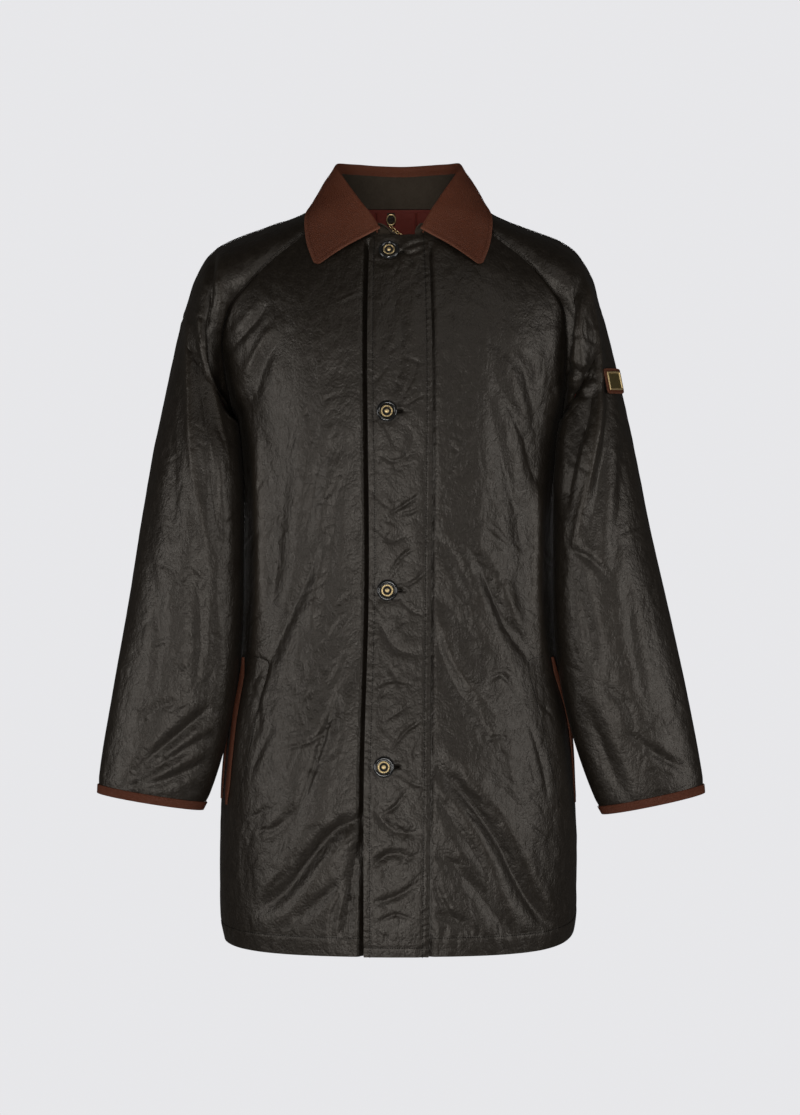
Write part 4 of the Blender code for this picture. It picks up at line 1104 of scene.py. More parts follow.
@functools.cache
def brown_leather():
    """Grained brown leather, lighter along its edges."""
    colours = bpy.context.scene.jacket_colours
    material, tree, shader = new_material("collar_leather", {"Specular IOR Level": 0.2})
    where = place_node(tree, "ShaderNodeTexCoord")
    relief = place_node(tree, "ShaderNodeAttribute", attribute_name="relief")
    grain = use_group(tree, grain_group(), {"Vector": where.outputs["Object"], "Scale": 560})
    wear = use_group(tree, wear_group(), {
        "Colour": rgba(colours.leather), "Worn Colour": rgba(colours.leather_edge),
        "Relief": relief.outputs["Fac"], "Mottle": grain.outputs["Mottle"], "Roughness": 0.55})
    link_to(tree, shader, {"Base Color": wear.outputs["Colour"], "Roughness": wear.outputs["Roughness"]})
    bump_normal(tree, shader, grain.outputs["Height"], 0.00055)
    return material


def speckled(name, constants, colours, specks, shine, relief, share=(0, 1, 0, 1)):
    """A material whose colour and shine vary in fine specks of a scale, detail and roughness."""
    material, tree, shader = new_material(name, constants)
    noises = noise_node(tree, place_node(tree, "ShaderNodeTexCoord").outputs["Object"], *specks)
    link_to(tree, shader, {"Base Color": mix_colour(tree, map_range(tree, noises, *share), *colours),
                           "Roughness": map_range(tree, noises, 0.3, 0.7, *shine)})
    bump_normal(tree, shader, noises, relief)
    return material


@functools.cache
def thread(name):
    """Twisted sewing thread in the colour of a property; the cloth's thread is painted near black, as
    painted shade of its stitch holes.
    """
    colour = getattr(bpy.context.scene.jacket_colours, name)
    return speckled(name, {"Specular IOR Level": 0.1}, (rgba(colour), rgba(colour, 1.7)), (900, 2, 0.5),
                    (0.5, 0.8), 0.0001)


@functools.cache
def black_button(gloss):
    """Polished black button rim with hairline scratches, or the dull ground inside it."""
    colour = bpy.context.scene.jacket_colours.button
    shine = 0.1 if gloss else 0.5
    return speckled("button_black" if gloss else "button_ground", {
        "Coat Weight": 0.6 if gloss else 0, "Coat Roughness": 0.05,
        "Specular IOR Level": 0.5 if gloss else 0.15}, (rgba(colour), rgba(colour, 2.2)), (700, 4, 0.5),
        (shine, shine + 0.12), 0.00002)


@functools.cache
def metal(name):
    """Brass in the colour of a property, with a little tarnish."""
    colour = getattr(bpy.context.scene.jacket_colours, name)
    shine = METAL_SHINE[name]
    return speckled(name, {"Metallic": 1}, (rgba(colour), rgba(colour, 0.45)), (420, 5, 0.6),
                    (shine, shine + 0.12), 0.00006, (0.4, 0.65, 0, 0.35))


# Repeats along paths

def geometry_group(name, inputs):
    """An empty Geometry Nodes tree with named inputs: its tree, its input node and its output node."""
    inputs = {"Geometry": "Geometry", **dict.fromkeys(inputs, "Float"), "Material": "Material"}
    return new_group(name, "GeometryNodeTree", inputs, {"Geometry": "Geometry"})


def spots_along(tree, start):
    """Points a pitch apart along the tree's paths, and rotations that face along them."""
    curve = place_node(tree, "GeometryNodeMeshToCurve", {"Mesh": start.outputs["Geometry"]})
    spots = place_node(tree, "GeometryNodeCurveToPoints", {
        "Curve": curve.outputs["Curve"], "Length": start.outputs["Pitch"]}, mode="LENGTH")
    turn = place_node(tree, "FunctionNodeAlignRotationToVector", {
        "Vector": spots.outputs["Tangent"]}, axis="X")
    return spots.outputs["Points"], turn.outputs["Rotation"]


def finish_instances(tree, points, shape, rotation, start, end):
    """Set shapes on points, make them real and give them the tree's material."""
    instances = place_node(tree, "GeometryNodeInstanceOnPoints", {
        "Points": points, "Instance": shape, "Rotation": rotation})
    real = place_node(tree, "GeometryNodeRealizeInstances", {"Geometry": instances.outputs["Instances"]})
    smooth = place_node(tree, "GeometryNodeSetShadeSmooth", {"Geometry": real.outputs["Geometry"]})
    painted = place_node(tree, "GeometryNodeSetMaterial", {
        "Geometry": smooth.outputs["Geometry"], "Material": start.outputs["Material"]})
    tree.links.new(painted.outputs["Geometry"], end.inputs["Geometry"])


@functools.cache
def stitch_tree():
    """Stitches along paths."""
    tree, start, end = geometry_group("Stitches", ("Pitch", "Length", "Thread"))
    spots, turn = spots_along(tree, start)
    bead = place_node(tree, "GeometryNodeMeshUVSphere", {"Segments": 6, "Rings": 4, "Radius": 0.5})
    size = place_node(tree, "ShaderNodeCombineXYZ", {
        "X": start.outputs["Length"], "Y": start.outputs["Thread"], "Z": start.outputs["Thread"]})
    stitch = place_node(tree, "GeometryNodeTransform", {
        "Geometry": bead.outputs["Mesh"], "Scale": size.outputs["Vector"]})
    finish_instances(tree, spots, stitch.outputs["Geometry"], turn, start, end)
    return tree


@functools.cache
def chain_tree():
    """Oval links along a path, each a quarter turn from the last."""
    tree, start, end = geometry_group("Chain", ("Pitch", "Link", "Wire"))
    spots, turn = spots_along(tree, start)
    ring, wire = (place_node(tree, "GeometryNodeCurvePrimitiveCircle", {
        "Resolution": steps, "Radius": start.outputs[name]}, mode="RADIUS").outputs["Curve"]
        for steps, name in ((14, "Link"), (6, "Wire")))
    oval = place_node(tree, "GeometryNodeTransform", {"Geometry": ring, "Scale": (1.45, 1, 1)})
    link = place_node(tree, "GeometryNodeCurveToMesh", {
        "Curve": oval.outputs["Geometry"], "Profile Curve": wire})
    number = place_node(tree, "GeometryNodeInputIndex")
    odd = math_node(tree, "MODULO", number.outputs["Index"], 2)
    angle = math_node(tree, "MULTIPLY", odd, math.pi / 2)
    roll = place_node(tree, "ShaderNodeCombineXYZ", {"X": math_node(tree, "ADD", angle, math.pi / 4)})
    rolled = place_node(tree, "FunctionNodeRotateRotation", {
        "Rotation": turn, "Rotate By": roll.outputs["Vector"]}, rotation_space="LOCAL")
    finish_instances(tree, spots, link.outputs["Mesh"], rolled.outputs["Rotation"], start, end)
    return tree


@functools.cache
def bead_tree():
    """Round beads on the points of a path."""
    tree, start, end = geometry_group("Beads", ("Bead",))
    spots = place_node(tree, "GeometryNodeMeshToPoints", {"Mesh": start.outputs["Geometry"]})
    bead = place_node(tree, "GeometryNodeMeshUVSphere", {
        "Segments": 8, "Rings": 5, "Radius": start.outputs["Bead"]})
    none = place_node(tree, "FunctionNodeEulerToRotation").outputs["Rotation"]
    finish_instances(tree, spots.outputs["Points"], bead.outputs["Mesh"], none, start, end)
    return tree


def grown(name, paths, tree, values):
    """A plain mesh that a Geometry Nodes tree grows on paths."""
    edges = []
    first = 0
    for path in paths:
        edges += [(first + step, first + step + 1) for step in range(len(path) - 1)]
        first += len(path)
    mesh = bpy.data.meshes.new(name + "_path")
    mesh.from_pydata([tuple(point) for point in np.concatenate(paths)], edges, [])
    item = new_object(name, mesh)
    modifier = item.modifiers.new("Grow", "NODES")
    modifier.node_group = tree
    for socket in tree.interface.items_tree:
        if socket.in_out == "INPUT" and socket.name in values:
            modifier[socket.identifier] = values[socket.name]
    graph = bpy.context.evaluated_depsgraph_get()
    result = bpy.data.meshes.new_from_object(item.evaluated_get(graph), depsgraph=graph)
    item.modifiers.remove(modifier)
    item.data = result
    result.name = name
    bpy.data.meshes.remove(mesh)
    return item


def stitched(name, paths, material):
    """Stitches along paths, ready to be dressed."""
    sizes = bpy.context.scene.jacket_sizes
    return grown(name, paths, stitch_tree(), {
        "Pitch": sizes.stitch_pitch, "Length": sizes.stitch_length, "Thread": sizes.stitch_width,
        "Material": material})


# The cloth shell

def placket_run(x, z):
    """How far places lie outside the placket's edges, negative under it."""
    edges = PLACKET.at(z)
    return np.maximum(edges.right_x - x, x - edges.left_x)


def folded(panel, folds, seed, flip=1):
    """Height of a panel's folds and of its small waves."""
    sizes = bpy.context.scene.jacket_sizes
    height = fold_height(folds, panel.x * flip, panel.z) * sizes.fold_share
    return height + sizes.crumple * crumpled(panel.grid, seed)


def above_hem(panel):
    """Share of the folds that is left, less of it in the hem."""
    above = panel.from_start - HEM_STITCH
    return HEM_FOLDS + (1 - HEM_FOLDS) * ramp(above / HEM_FOLDS_RUN + 0.4)


def fold_front(panel):
    """Folds, hem and placket step of a front."""
    side = 1 if panel.x.mean() > 0 else -1
    outside = placket_run(panel.x, panel.z)
    free = ramp(panel.from_last / SEAM_RUN) * ramp(panel.from_end / SEAM_RUN)
    free *= ramp((outside + PLACKET_COVER) / PLACKET_COVER_RUN)
    height = folded(panel, FRONT_FOLDS + small_creases(11 + side, 76, -side, body_spot(side)), 1)
    height *= free * above_hem(panel)
    under = 1 - ramp(outside / PLACKET_SINK_RUN[side])
    height -= PLACKET_SINK[side] * under * ramp(panel.from_end / NECK_RUN)
    height += hem_height(panel) * free
    panel.height = height - seam_dip(panel.from_last)


def crumpled(grid, seed):
    """Uneven waves of several sizes, mostly running down the cloth."""
    return (waves(grid, 0.055, 2.6, seed) + 0.55 * waves(grid, 0.026, 2, seed + 10)
            + 0.3 * waves(grid, 0.012, 1.3, seed + 20))


def hem_height(panel):
    """The doubled hem, its stitch line and the puckers above it."""
    above = panel.from_start - HEM_STITCH
    band = HEM_BAND * (1 - ramp(above / HEM_BAND_RUN + 0.5))
    pucker = pucker_height(HEM_PUCKERS, panel.from_first, above, panel.grid, 40)
    return band + pucker - STITCH_DIP * bump(above, STITCH_DIP_WIDTH)


def pucker_height(sizes, place, run, grid, seed):
    """Uneven ripples that a stitch line draws into the cloth beside it."""
    strength = np.clip(0.45 + 1.6 * waves(grid, 4 * sizes.pitch, 1, seed + 3), 0, 1)
    shift = 3.4 * waves(grid, 3 * sizes.pitch, 1, seed)
    ripple = strength * np.sin(2 * math.pi * place / sizes.pitch + shift)
    return sizes.height * ripple * bump(run - sizes.place, sizes.reach)


def seam_dip(run):
    """How far the cloth dips beside a sewn edge."""
    return SEAM_DIP * bump(run, SEAM_DIP_WIDTH)


def fold_back(panel):
    """Folds and hem of the back."""
    free = ramp(panel.from_first / SEAM_RUN) * ramp(panel.from_last / SEAM_RUN)
    free *= ramp((panel.from_end - BACK_SMOOTH) / BACK_SMOOTH_RUN)
    height = folded(panel, BACK_FOLDS + small_creases(21, 60, 0, body_spot(0)), 2)
    height *= free * above_hem(panel)
    height += hem_height(panel) * free
    panel.height = height - seam_dip(panel.from_first) - seam_dip(panel.from_last)


def fold_sleeve(panel, folds, flip, seed):
    """Folds of half a sleeve."""
    free = ramp(panel.from_first / SEAM_RUN) * ramp(panel.from_last / SEAM_RUN)
    free *= ramp(panel.from_start / SEAM_RUN) * ramp(panel.from_end / CUFF_RUN)
    on_raglan = (panel.z > ARMPIT_Z) | (panel.from_start < RAGLAN_LENGTH)
    dips = seam_dip(panel.from_first) + seam_dip(panel.from_last) * on_raglan
    drawn_in = CUFF_DRAW * (1 - ramp(panel.from_end / CUFF_DRAW_RUN))
    panel.height = folded(panel, folds, seed, flip) * free - dips - drawn_in


@functools.cache
def shell_panels():
    """The cloth panels of body and sleeves with their folds."""
    halves = [body_grid(side, True, BACK_STEP) for side in (-1, 1)]
    panels = {"back": Panel(np.concatenate((halves[0][:, :0:-1], halves[1]), axis=1), BODY_MIDDLE)}
    for name, side in SIDES:
        panels["front_" + name] = Panel(body_grid(side, False, BODY_STEP), BODY_MIDDLE)
        for half, behind in HALVES:
            step = BACK_STEP if behind else BODY_STEP
            grid = sleeve_grid(side, behind, step)
            panels["sleeve_%s_%s" % (name, half)] = Panel(grid, (grid[:, :1] + grid[:, -1:]) / 2)
    share_normals(list(panels.values()))
    fold_back(panels["back"])
    for seed, (name, side) in enumerate(SIDES, start=3):
        fold_front(panels["front_" + name])
        folds = LEFT_SLEEVE_FOLDS if side > 0 else RIGHT_SLEEVE_FOLDS
        folds += small_creases(31 + side, 48, 0, sleeve_spot(side))
        fold_sleeve(panels["sleeve_%s_front" % name], folds, 1, seed)
        folds = SLEEVE_BACK_FOLDS + small_creases(41 + side, 24, 0, sleeve_spot(1))
        fold_sleeve(panels["sleeve_%s_back" % name], folds, side, seed + 2)
    for panel in panels.values():
        panel.settle()
    share_normals(list(panels.values()))
    return panels


def cloth_object(name, panel, thickness, pull, rim=0, materials=None, skip=1):
    """The wall of a panel, cloth outside and lining inside, the inside kept below every crease."""
    outer = pulled_back(panel.cloth, pull)
    relief = np.clip(panel.height / RELIEF_HEIGHT, -1, 1)
    around = np.lib.stride_tricks.sliding_window_view(np.pad(panel.height, 1, mode="edge"), (3, 3))
    sink = thickness + panel.height - around.min(axis=(2, 3))
    return wall_object(name, outer, outer - panel.normals * sink[..., None],
                       materials or (waxed_cotton(), lining_twill()), panel.uv, relief, rim, skip)


class JACKET_OT_shell(bpy.types.Operator):
    """Fold the cloth panels of body and sleeves"""

    bl_idname = "jacket.shell"
    bl_label = "Cloth shell"

    def execute(self, context):
        for name, panel in shell_panels().items():
            item = cloth_object("cloth_" + name, panel, CLOTH, SEAM_PULL, skip=2)
            dress_sheet(item, name, panel.cut_size())
        return {"FINISHED"}


# The placket

@functools.cache
def placket_panel():
    """The buttoned strip over the meeting fronts, with its puckers."""
    rows = round((PLACKET_TOP_Z - HEM_Z) / PLACKET_STEP)
    share = np.linspace(0, 1, round(PLACKET_WIDTH / PLACKET_STEP) + 1)[None]
    top = PLACKET_TOP_Z - PLACKET_TOP.at(share).drop
    z = HEM_Z + (top - HEM_Z) * np.linspace(0, 1, rows + 1)[:, None]
    edges = PLACKET.at(z)
    x = edges.right_x + (edges.left_x - edges.right_x) * share
    grid, normals = body_lift(x, z, LAID_GAP + CLOTH, False)
    panel = Panel(grid, BODY_MIDDLE)
    panel.normals = normals
    panel.height = placket_height(panel)
    panel.settle()
    return panel


def placket_height(panel):
    """Puckers, stitch dips, button dimples and pulls of the placket."""
    right, left = panel.from_first, panel.from_last
    height = fold_height(PLACKET_FOLDS + small_creases(51, 40, 0, placket_spot), panel.x, panel.z)
    middle = PLACKET_CRUMPLE
    for run, seed in ((right, 50), (left, 51)):
        height += pucker_height(PLACKET_PUCKERS, panel.z + 0.5 * run, run, panel.grid, seed)
        height -= STITCH_DIP * bump(run - PLACKET_MARGIN, STITCH_DIP_WIDTH)
        middle = middle * ramp((run - PLACKET_BAND) / PLACKET_BAND_RUN)
    height += middle * crumpled(panel.grid, 7)
    height -= STITCH_DIP * bump(panel.from_start - PLACKET_FOOT, STITCH_DIP_WIDTH)
    height -= PLACKET_DROP * (1 - ramp(left / PLACKET_DROP_RUN))
    for button in BUTTONS.rows:
        distance = np.hypot(panel.x - button.x, panel.z - button.z)
        near = 1 - ramp((distance - BUTTON_FLAT) / BUTTON_FLAT_RUN)
        height = height * (1 - near) - BUTTON_DIMPLE * near
        places = [(button.x / MM + x, button.z / MM + z) for x, z in BUTTONHOLE.places]
        height += fold_height((BUTTONHOLE._replace(places=places),), panel.x, panel.z)
    return height


PLACKET_FOLDS = (
    Fold(1.6, 2.6, ((2, -58), (16, -50), (34, -46)), 0.7),
    Fold(1.4, 2.2, ((4, -62), (18, -60), (33, -52)), 0.7),
    Fold(1.2, 6, ((2, -130), (4, -170), (-2, -206), (-8, -226)), 0.2),
    Fold(1, 2, ((6, -226), (16, -206), (21, -184)), 0.9),
    Fold(1.2, 2, ((6, -238), (18, -230), (30, -224)), 0.9),
    Fold(1, 1.8, ((-16, -258), (-11, -268), (-4, -284)), 0.9),
    Fold(1.2, 6, ((20, -262), (12, -290), (-6, -314)), 0.3),
    Fold(1.1, 2.2, ((-22, -292), (-6, -300), (10, -294)), 0.8),
    Fold(1.3, 2.4, ((-10, -360), (6, -350), (24, -338)), 0.9),
    Fold(1, 2, ((2, -360), (14, -358), (28, -351)), 0.9),
    Fold(1.2, 5, ((-26, -372), (-10, -388), (10, -384)), 0.3),
    Fold(1.3, 2.2, ((-8, -424), (4, -408), (18, -398)), 0.9),
    Fold(1.2, 2, ((4, -442), (18, -436), (31, -424)), 0.9),
    Fold(1, 2, ((2, -456), (16, -470), (30, -474)), 0.9),
    Fold(1.4, 6, ((-22, -480), (-4, -510), (24, -520)), 0.3),
    Fold(1.1, 2.4, ((-28, -556), (-6, -548), (14, -552)), 0.8),
    Fold(1.3, 2.4, ((-8, -626), (8, -606), (30, -590)), 0.9),
    Fold(1.2, 2.2, ((0, -652), (16, -664), (30, -668)), 0.9),
    Fold(1.8, 5, ((-30, -690), (-6, -716), (24, -722)), 0.4),
    Fold(2.2, 5, ((-32, -760), (-10, -744), (20, -748)), 0.4),
    Fold(1.4, 2.6, ((-20, -700), (-4, -690), (10, -672)), 0.9),
    Fold(1.8, 4, ((-30, -800), (0, -790), (30, -770)), 0.5),
    Fold(1.2, 2.4, ((-26, -822), (-4, -812), (18, -818)), 0.8),
)


class JACKET_OT_placket(bpy.types.Operator):
    """Lay the buttoned placket over the fronts"""

    bl_idname = "jacket.placket"
    bl_label = "Placket"

    def execute(self, context):
        panel = placket_panel()
        item = cloth_object("cloth_placket", panel, CLOTH, 0, CLOTH_RIM, (waxed_cotton(),))
        dress_sheet(item, "placket", panel.cut_size())
        return {"FINISHED"}


# The collar

def collar_point(along, side, place):
    """Points of the collar: place 0 is its seam inside the roll, 1 the roll, 2 the outer edge."""
    section = COLLAR.at(along)
    roll = np.stack(section[1:4], axis=-1)
    if side > 0:
        roll[..., 0] += COLLAR_LEFT_OUT * (1 - ramp(along / COLLAR_LEFT_RUN))
    edge = np.stack(section[4:7], axis=-1)
    flat = np.array((1, 1, 0))
    if place <= 1:
        widening = ramp(along / COLLAR_INSIDE_RUN)
        depth = COLLAR_INSIDE * (COLLAR_INSIDE_END + (1 - COLLAR_INSIDE_END) * widening)
        inside = roll - unit(roll * flat) * COLLAR_PADDING
        inside[..., 2] -= depth
        point = inside + (roll - inside) * place
        if place == 1:
            point = point + unit(roll - np.array(NECK_MIDDLE)) * COLLAR_CREST
    else:
        share = place - 1
        outward = unit(edge * flat + np.array((0, 0, COLLAR_BULGE_RISE)))
        point = roll + (edge - roll) * share + outward * COLLAR_BULGE * math.sin(math.pi * share)
    return mirrored(point, side)


def round_corners(grid):
    """The collar's grid with the tips of its outer edge rounded."""
    grid = grid.copy()
    for columns in (slice(None), slice(None, None, -1)):
        turned = grid[::-1, columns]
        u, v = (np.clip(1 - runs(turned, axis) / COLLAR_TIP, 0, 1) for axis in (1, 0))
        moved = turned
        for axis, near, other in ((1, u, v), (0, v, u)):
            inward = (near - near * np.sqrt(1 - other**2 / 2)) * COLLAR_TIP
            moved = moved + unit(np.gradient(turned, axis=axis)) * inward[..., None]
        grid[::-1, columns] = moved
    return grid


@functools.cache
def collar_panel():
    """The leather of the collar, turned over the roll."""
    half = np.linspace(0, 1, round(0.19 / COLLAR_STEP) + 1)
    control = [np.concatenate((collar_point(half, -1, place), collar_point(half[-2::-1], 1, place)))
               for place in COLLAR_PLACES]
    places = np.linspace(0, 2, round(0.085 / COLLAR_STEP) + 1)
    grid = round_corners(smooth_through(COLLAR_PLACES, np.array(control), places))
    outside = grid[round(len(places) * 0.7)]
    panel = Panel(grid, outside - unit(outside * np.array((1, 1, 0))) * 0.006)
    panel.height = COLLAR_WAVE * waves(grid, 0.03, 1, 60) * ramp(panel.from_start / 0.02)
    panel.height -= COLLAR_STITCH_DIP * bump(panel.inset - COLLAR_STITCH, COLLAR_STITCH_WIDTH)
    panel.settle()
    return panel


def neckline(panels):
    """Points round the neck seam, from the right front to the left front, without the middle's stretch."""
    top = {name: panel.grid[0 if name.startswith("sleeve") else -1] for name, panel in panels.items()}
    points = [point for point in top["front_right"] if point[0] < STAND_ENDS[-1]]
    points += list(top["sleeve_right_front"][-2::-1])
    points += list(top["sleeve_right_back"][1:])
    points += list(top["back"][1:])
    points += list(top["sleeve_left_back"][-2::-1])
    points += list(top["sleeve_left_front"][1:])
    points += [point for point in top["front_left"][-2::-1] if point[0] > STAND_ENDS[1]]
    return np.array(points)


@functools.cache
def stand_panel():
    """The collar stand, from the neck seam up to the leather inside the roll."""
    base = neckline(shell_panels())
    sewn = (np.abs(base[:, 0]) > COLLAR_END_X) | (base[:, 1] > 0)
    lengths = np.linalg.norm(np.diff(base[sewn], axis=0), axis=1)
    shares = np.concatenate(((0,), np.cumsum(lengths))) / lengths.sum()
    along = COLLAR_STAND_START + (1 - COLLAR_STAND_START) * 2 * np.minimum(shares, 1 - shares)
    right, left = collar_point(along, -1, 0), collar_point(along, 1, 0)
    top = base.copy()
    top[sewn] = np.where((shares < 0.5)[:, None], right, left) - np.array((0, 0, STAND_DROP))
    for side, first in ((-1, top[sewn][0]), (1, top[sewn][-1])):
        free = ~sewn & (base[:, 0] * side > 0)
        share = (COLLAR_END_X - np.abs(base[free, 0])) / (COLLAR_END_X - abs(STAND_ENDS[side]))
        last = np.array((STAND_ENDS[side], base[free, 1].min(), STAND_END_Z))
        top[free] = first + (last - first) * share[:, None]
        top[free, 2] += STAND_END_RISE * np.sin(math.pi * share)
    belly = np.full(len(base), STAND_BELLY)
    belly[sewn] *= 1 - ramp((along - COLLAR_STAND_START) / STAND_BELLY_RUN)
    across, back = STAND_INWARD
    inward = np.stack(np.broadcast_arrays(-across * np.sign(base[:, 0]), back, 0), axis=1)
    rise = np.linspace(0, 1, STAND_ROWS)[:, None, None]
    grid = base + (top - base) * rise + inward * belly[:, None] * np.sin(math.pi * rise)
    panel = Panel(grid, NECK_MIDDLE)
    free = ramp(panel.from_start / STAND_RUN) * ramp(panel.from_end / STAND_RUN)
    panel.height = STAND_WAVE * waves(panel.grid, 0.02, 1, 70) * free
    panel.settle()
    return panel


class JACKET_OT_collar(bpy.types.Operator):
    """Turn the leather collar over its cloth stand"""

    bl_idname = "jacket.collar"
    bl_label = "Collar"

    def execute(self, context):
        stand = stand_panel()
        item = cloth_object("cloth_collar_stand", stand, STAND_CLOTH, SEAM_PULL,
                            materials=(waxed_cotton(True),))
        dress_sheet(item, "collar_stand", stand.cut_size())
        fall = collar_panel()
        grid = pulled_back(fall.cloth, SEAM_PULL)
        relief = 1 - ramp(fall.inset / COLLAR_RUBBED)
        item = wall_object("leather_collar", grid, grid - fall.normals * LEATHER, (brown_leather(),),
                           fall.uv, relief, COLLAR_RIM)
        dress_sheet(item, "collar_fall", fall.cut_size())
        return {"FINISHED"}


# Leather trim

def binding_rings(panels, name):
    """Sections of the leather folded round a sleeve's end, with rounded corners."""
    front, back = panels["sleeve_%s_front" % name], panels["sleeve_%s_back" % name]
    inside = -CLOTH - LAID_GAP
    outside = LAID_GAP + LEATHER
    turns = np.linspace(0, math.pi / 2, 5)
    bends = [(BINDING_FOLD * math.cos(turn), BINDING_FOLD * math.sin(turn)) for turn in turns]
    low = outside - BINDING_FOLD
    profile = [(LAID_GAP, -BINDING_HEIGHT), (outside - BINDING_BEVEL, -BINDING_HEIGHT),
               (outside, -BINDING_HEIGHT + BINDING_BEVEL)]
    profile += [(low + cosine, low + sine) for cosine, sine in bends]
    profile += [(inside - LEATHER + BINDING_FOLD - sine, low + cosine) for cosine, sine in bends]
    profile += [(inside - LEATHER, -BINDING_INSIDE), (inside, -BINDING_INSIDE), (inside, LAID_GAP),
                (LAID_GAP, LAID_GAP)]

    def sections(panel):
        steps = np.linspace(0, panel.cloth.shape[1] - 1, BINDING_STEPS)
        columns = np.arange(panel.cloth.shape[1])
        return [smooth_through(columns, values, steps)
                for values in (panel.cloth[-1], panel.cloth[-4], panel.normals[-1])]

    end, above, normals = (np.concatenate((first, second[-2:0:-1]))
                           for first, second in zip(sections(front), sections(back)))
    fall = unit(end - above)
    normals = unit(normals)
    return np.stack([end + normals * out + fall * low for out, low in profile], axis=1)


class JACKET_OT_bindings(bpy.types.Operator):
    """Bind the sleeve ends in leather"""

    bl_idname = "jacket.bindings"
    bl_label = "Cuff bindings"

    def execute(self, context):
        for name, side in SIDES:
            rings = binding_rings(shell_panels(), name)
            item = swept_object("leather_binding_" + name, rings, (brown_leather(),))
            item.data.set_sharp_from_angle(angle=math.radians(BINDING_EDGE_ANGLE))
            dress(item, ("cuff_binding_" + name,))
        return {"FINISHED"}


def lip_grid(lip, rows=90, columns=6):
    """Points of the front under a pocket lip."""
    share = np.linspace(0, 1, rows + 1)[:, None]
    z = lip.bottom_z + (lip.top_z - lip.bottom_z) * share
    middle = lip.bottom_angle + (lip.top_angle - lip.bottom_angle) * share
    middle = middle + lip.bow * np.sin(math.pi * share)
    half = np.degrees(POCKET_LIP_WIDTH / 2 / TORSO.at(z).front)
    taper = 0.3 + 0.7 * ramp(np.minimum(share, 1 - share) / 0.14)
    angles = middle + half * taper * np.linspace(-1, 1, columns + 1)[None]
    return mirrored(body_point(np.radians(angles), z, False), dict(SIDES)[lip.side])


class JACKET_OT_pockets(bpy.types.Operator):
    """Lay the leather lips on the side pockets"""

    bl_idname = "jacket.pockets"
    bl_label = "Pocket lips"

    def execute(self, context):
        for lip in POCKET_LIPS.rows:
            panel = Panel(lip_grid(lip), POCKET_MIDDLE)
            across = panel.from_first / np.maximum(panel.from_first[:, -1:], 1e-6)
            up = (panel.z - lip.bottom_z) / (lip.top_z - lip.bottom_z)
            bulge = LIP_BULGE[lip.name] * ramp(up / LIP_END) * np.sin(math.pi * across)
            tuck = LIP_TUCK[lip.side] * (1 - ramp(up / LIP_END))
            panel.height = POCKET_GAP + LEATHER + bulge - tuck
            panel.settle()
            relief = np.clip(1 - np.sin(math.pi * across), 0, 1) ** 3
            item = panel_wall("leather_lip_%s_%s" % (lip.name, lip.side), panel, LEATHER, brown_leather(),
                              relief, LEATHER_RIM)
            dress(item, ("pocket_lip_%s_%s" % (lip.name, lip.side),))
        return {"FINISHED"}


# The badge

def badge_grid(width, height, steps, corner):
    """Points of the left sleeve under the badge, square to the overarm seam, with rounded corners."""
    turn = BADGE_TURN / 180
    step = 0.01

    def place(along, turn_share):
        return sleeve_point(np.asarray(along), np.asarray(turn_share), False, 1)

    centre = place(BADGE_ALONG, turn)
    by_along = (place(BADGE_ALONG + step, turn) - centre) / step
    by_turn = (place(BADGE_ALONG, turn + step) - centre) / step
    middle = sleeve_section(np.asarray(BADGE_ALONG), False, 1)[0]
    axis = place(BADGE_ALONG + step, 0) - place(BADGE_ALONG, 0)
    normal = unit(np.cross(by_turn, by_along))
    down = unit(axis - normal * np.dot(axis, normal))
    across = np.cross(down, normal)
    tangents = np.stack((by_along, by_turn), axis=1)
    share = np.linspace(-1, 1, steps)
    low, wide = np.meshgrid(share, share, indexing="ij")
    pull = 1 - corner * (np.abs(low) * np.abs(wide)) ** 6
    offsets = (down * (low * pull)[..., None] * height + across * (wide * pull)[..., None] * width) / 2
    moves = np.linalg.lstsq(tangents, offsets.reshape(-1, 3).T, rcond=None)[0].reshape(2, steps, steps)
    laid = place(BADGE_ALONG + moves[0], turn + moves[1])
    flat = laid + (centre + offsets - laid) * BADGE_STIFF
    return flat + normal * (BADGE_LIFT * (1 - wide) / 2)[..., None], middle, (low, wide)


